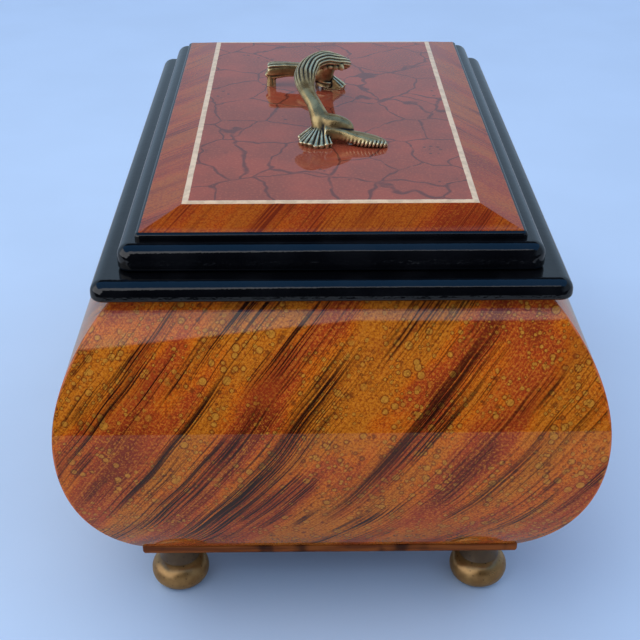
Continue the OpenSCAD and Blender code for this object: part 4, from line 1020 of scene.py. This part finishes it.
# slotted screws grow on the places of the CAD screws
def screwTree(finish, sizes):
    b, given = newTree("slottedScrew", sizes)
    wide, tall, length = given["Head width"], given["Head height"], given["Shank length"]

    def shifted(shape, up):
        return b.geo("Transform", {"Geometry": shape, "Translation": b.join(0, 0, up)})

    def rod(sides, width, depth):
        return b.geo("MeshCylinder", {"Vertices": sides, "Radius": width / 2, "Depth": depth}, "Mesh")

    slot = shifted(b.geo("MeshCube", {"Size": b.join(wide * 1.5, given["Slot width"], tall)}, "Mesh"), tall * 0.55)
    cut = b.geo("MeshBoolean", {"Mesh 1": rod(40, wide, tall), "Mesh 2": slot}, "Mesh", operation="DIFFERENCE")
    shank = shifted(rod(24, given["Shank width"], length), -length / 2 + 0.00001)
    whole = b.geo("JoinGeometry", {"Geometry": [shifted(cut, tall / 2), shank]})
    facing = b.node("AlignRotationToVector", {"axis": "Z"}, {"Vector": given["Axis"]}, 0, "FunctionNode")
    angle = b.node("RandomValue", {"data_type": "FLOAT"}, {"Min_001": 0, "Max_001": 3.1, "Seed": given["Seed"]},
                   "Value_001", "FunctionNode")
    spin = b.node("AxisAngleToRotation", {}, {"Axis": (0, 0, 1), "Angle": angle}, 0, "FunctionNode")
    turned = b.node("RotateRotation", {"rotation_space": "LOCAL"}, {"Rotation": facing, "Rotate By": spin}, 0,
                    "FunctionNode")
    grown = b.geo("InstanceOnPoints", {"Points": given["Geometry"], "Instance": whole, "Rotation": turned})
    return closeTree(b, grown, finish)


def looseBoxes(node):
    # boxes of a CAD node's separate solids, from a merged copy
    bm = bmesh.new()
    bm.from_mesh(nodes[node].data)
    bmesh.ops.remove_doubles(bm, verts=bm.verts, dist=1e-6)
    left, boxes = set(bm.verts), []
    for seed in bm.verts:
        if seed not in left:
            continue
        left.remove(seed)
        stack, mine = [seed], []
        while stack:
            v = stack.pop()
            mine.append(v.co.copy())
            near = left & {e.other_vert(v) for e in v.link_edges}
            left -= near
            stack += near
        boxes.append([Vector([end(p[k] for p in mine) for k in range(3)]) for end in (min, max)])
    bm.free()
    return boxes


# node: (piece, body, axis, head width and height, shank width, slot width in mm, finish)
screws = {
    "movement_screws": ("boardScrews", "case", (0, 0, -1), 5.5, 1.75, 3, 0.9, "steel"),
    "spring_plate_screws": ("springPlateScrews", "case", (0, 0, 1), 3.8, 1.2, 2, 0.6, "steel"),
    "comb_screws": ("combScrews", "case", (0, 0, 1), 4.6, 1.4, 2.5, 0.7, "steel"),
    "governor_screws": ("governorScrews", "case", (0, 0, 1), 3.6, 1.2, 2, 0.5, "steel"),
    "rim_hinge_screws": ("rimHingeScrews", "case", (0, 0, 1), 1.98, 0.9, 1.9, 0.4, "polished_brass"),
    "lid_hinge_screws": ("lidHingeScrews", "lid", (0, 0, -1), 1.98, 0.9, 1.9, 0.4, "polished_brass"),
    "rod_bracket_screws": ("bracketScrews", "case", (0, -1, 0), 3.2, 0.9, 1.9, 0.5, "polished_brass"),
}
screwFinishes = {"steel": metalFinishes["brightSteel"], "polished_brass": metalFinishes["polishedBrass"]}
for node, (name, body, axis, head, tall, shank, slotWide, slotName) in screws.items():
    way, seats, lengths = Vector(axis), [], []
    for low, high in looseBoxes(node):
        tip = Vector([high[k] if way[k] > 0 else low[k] if way[k] < 0 else (low[k] + high[k]) / 2 for k in range(3)])
        seats.append(tip - way * tall * mm)
        lengths.append(abs((high - low).dot(way)) - tall * mm)
    sizes = {"Head width": head * mm, "Head height": tall * mm, "Shank width": shank * mm, "Shank length": min(lengths),
             "Slot width": slotWide * mm, "Axis": [float(k) for k in axis], "Seed": 3}
    made = growPiece(name, screwTree, screwFinishes[slotName], sizes, seats)
    standFor(made, body, node)
    print(name, len(seats))
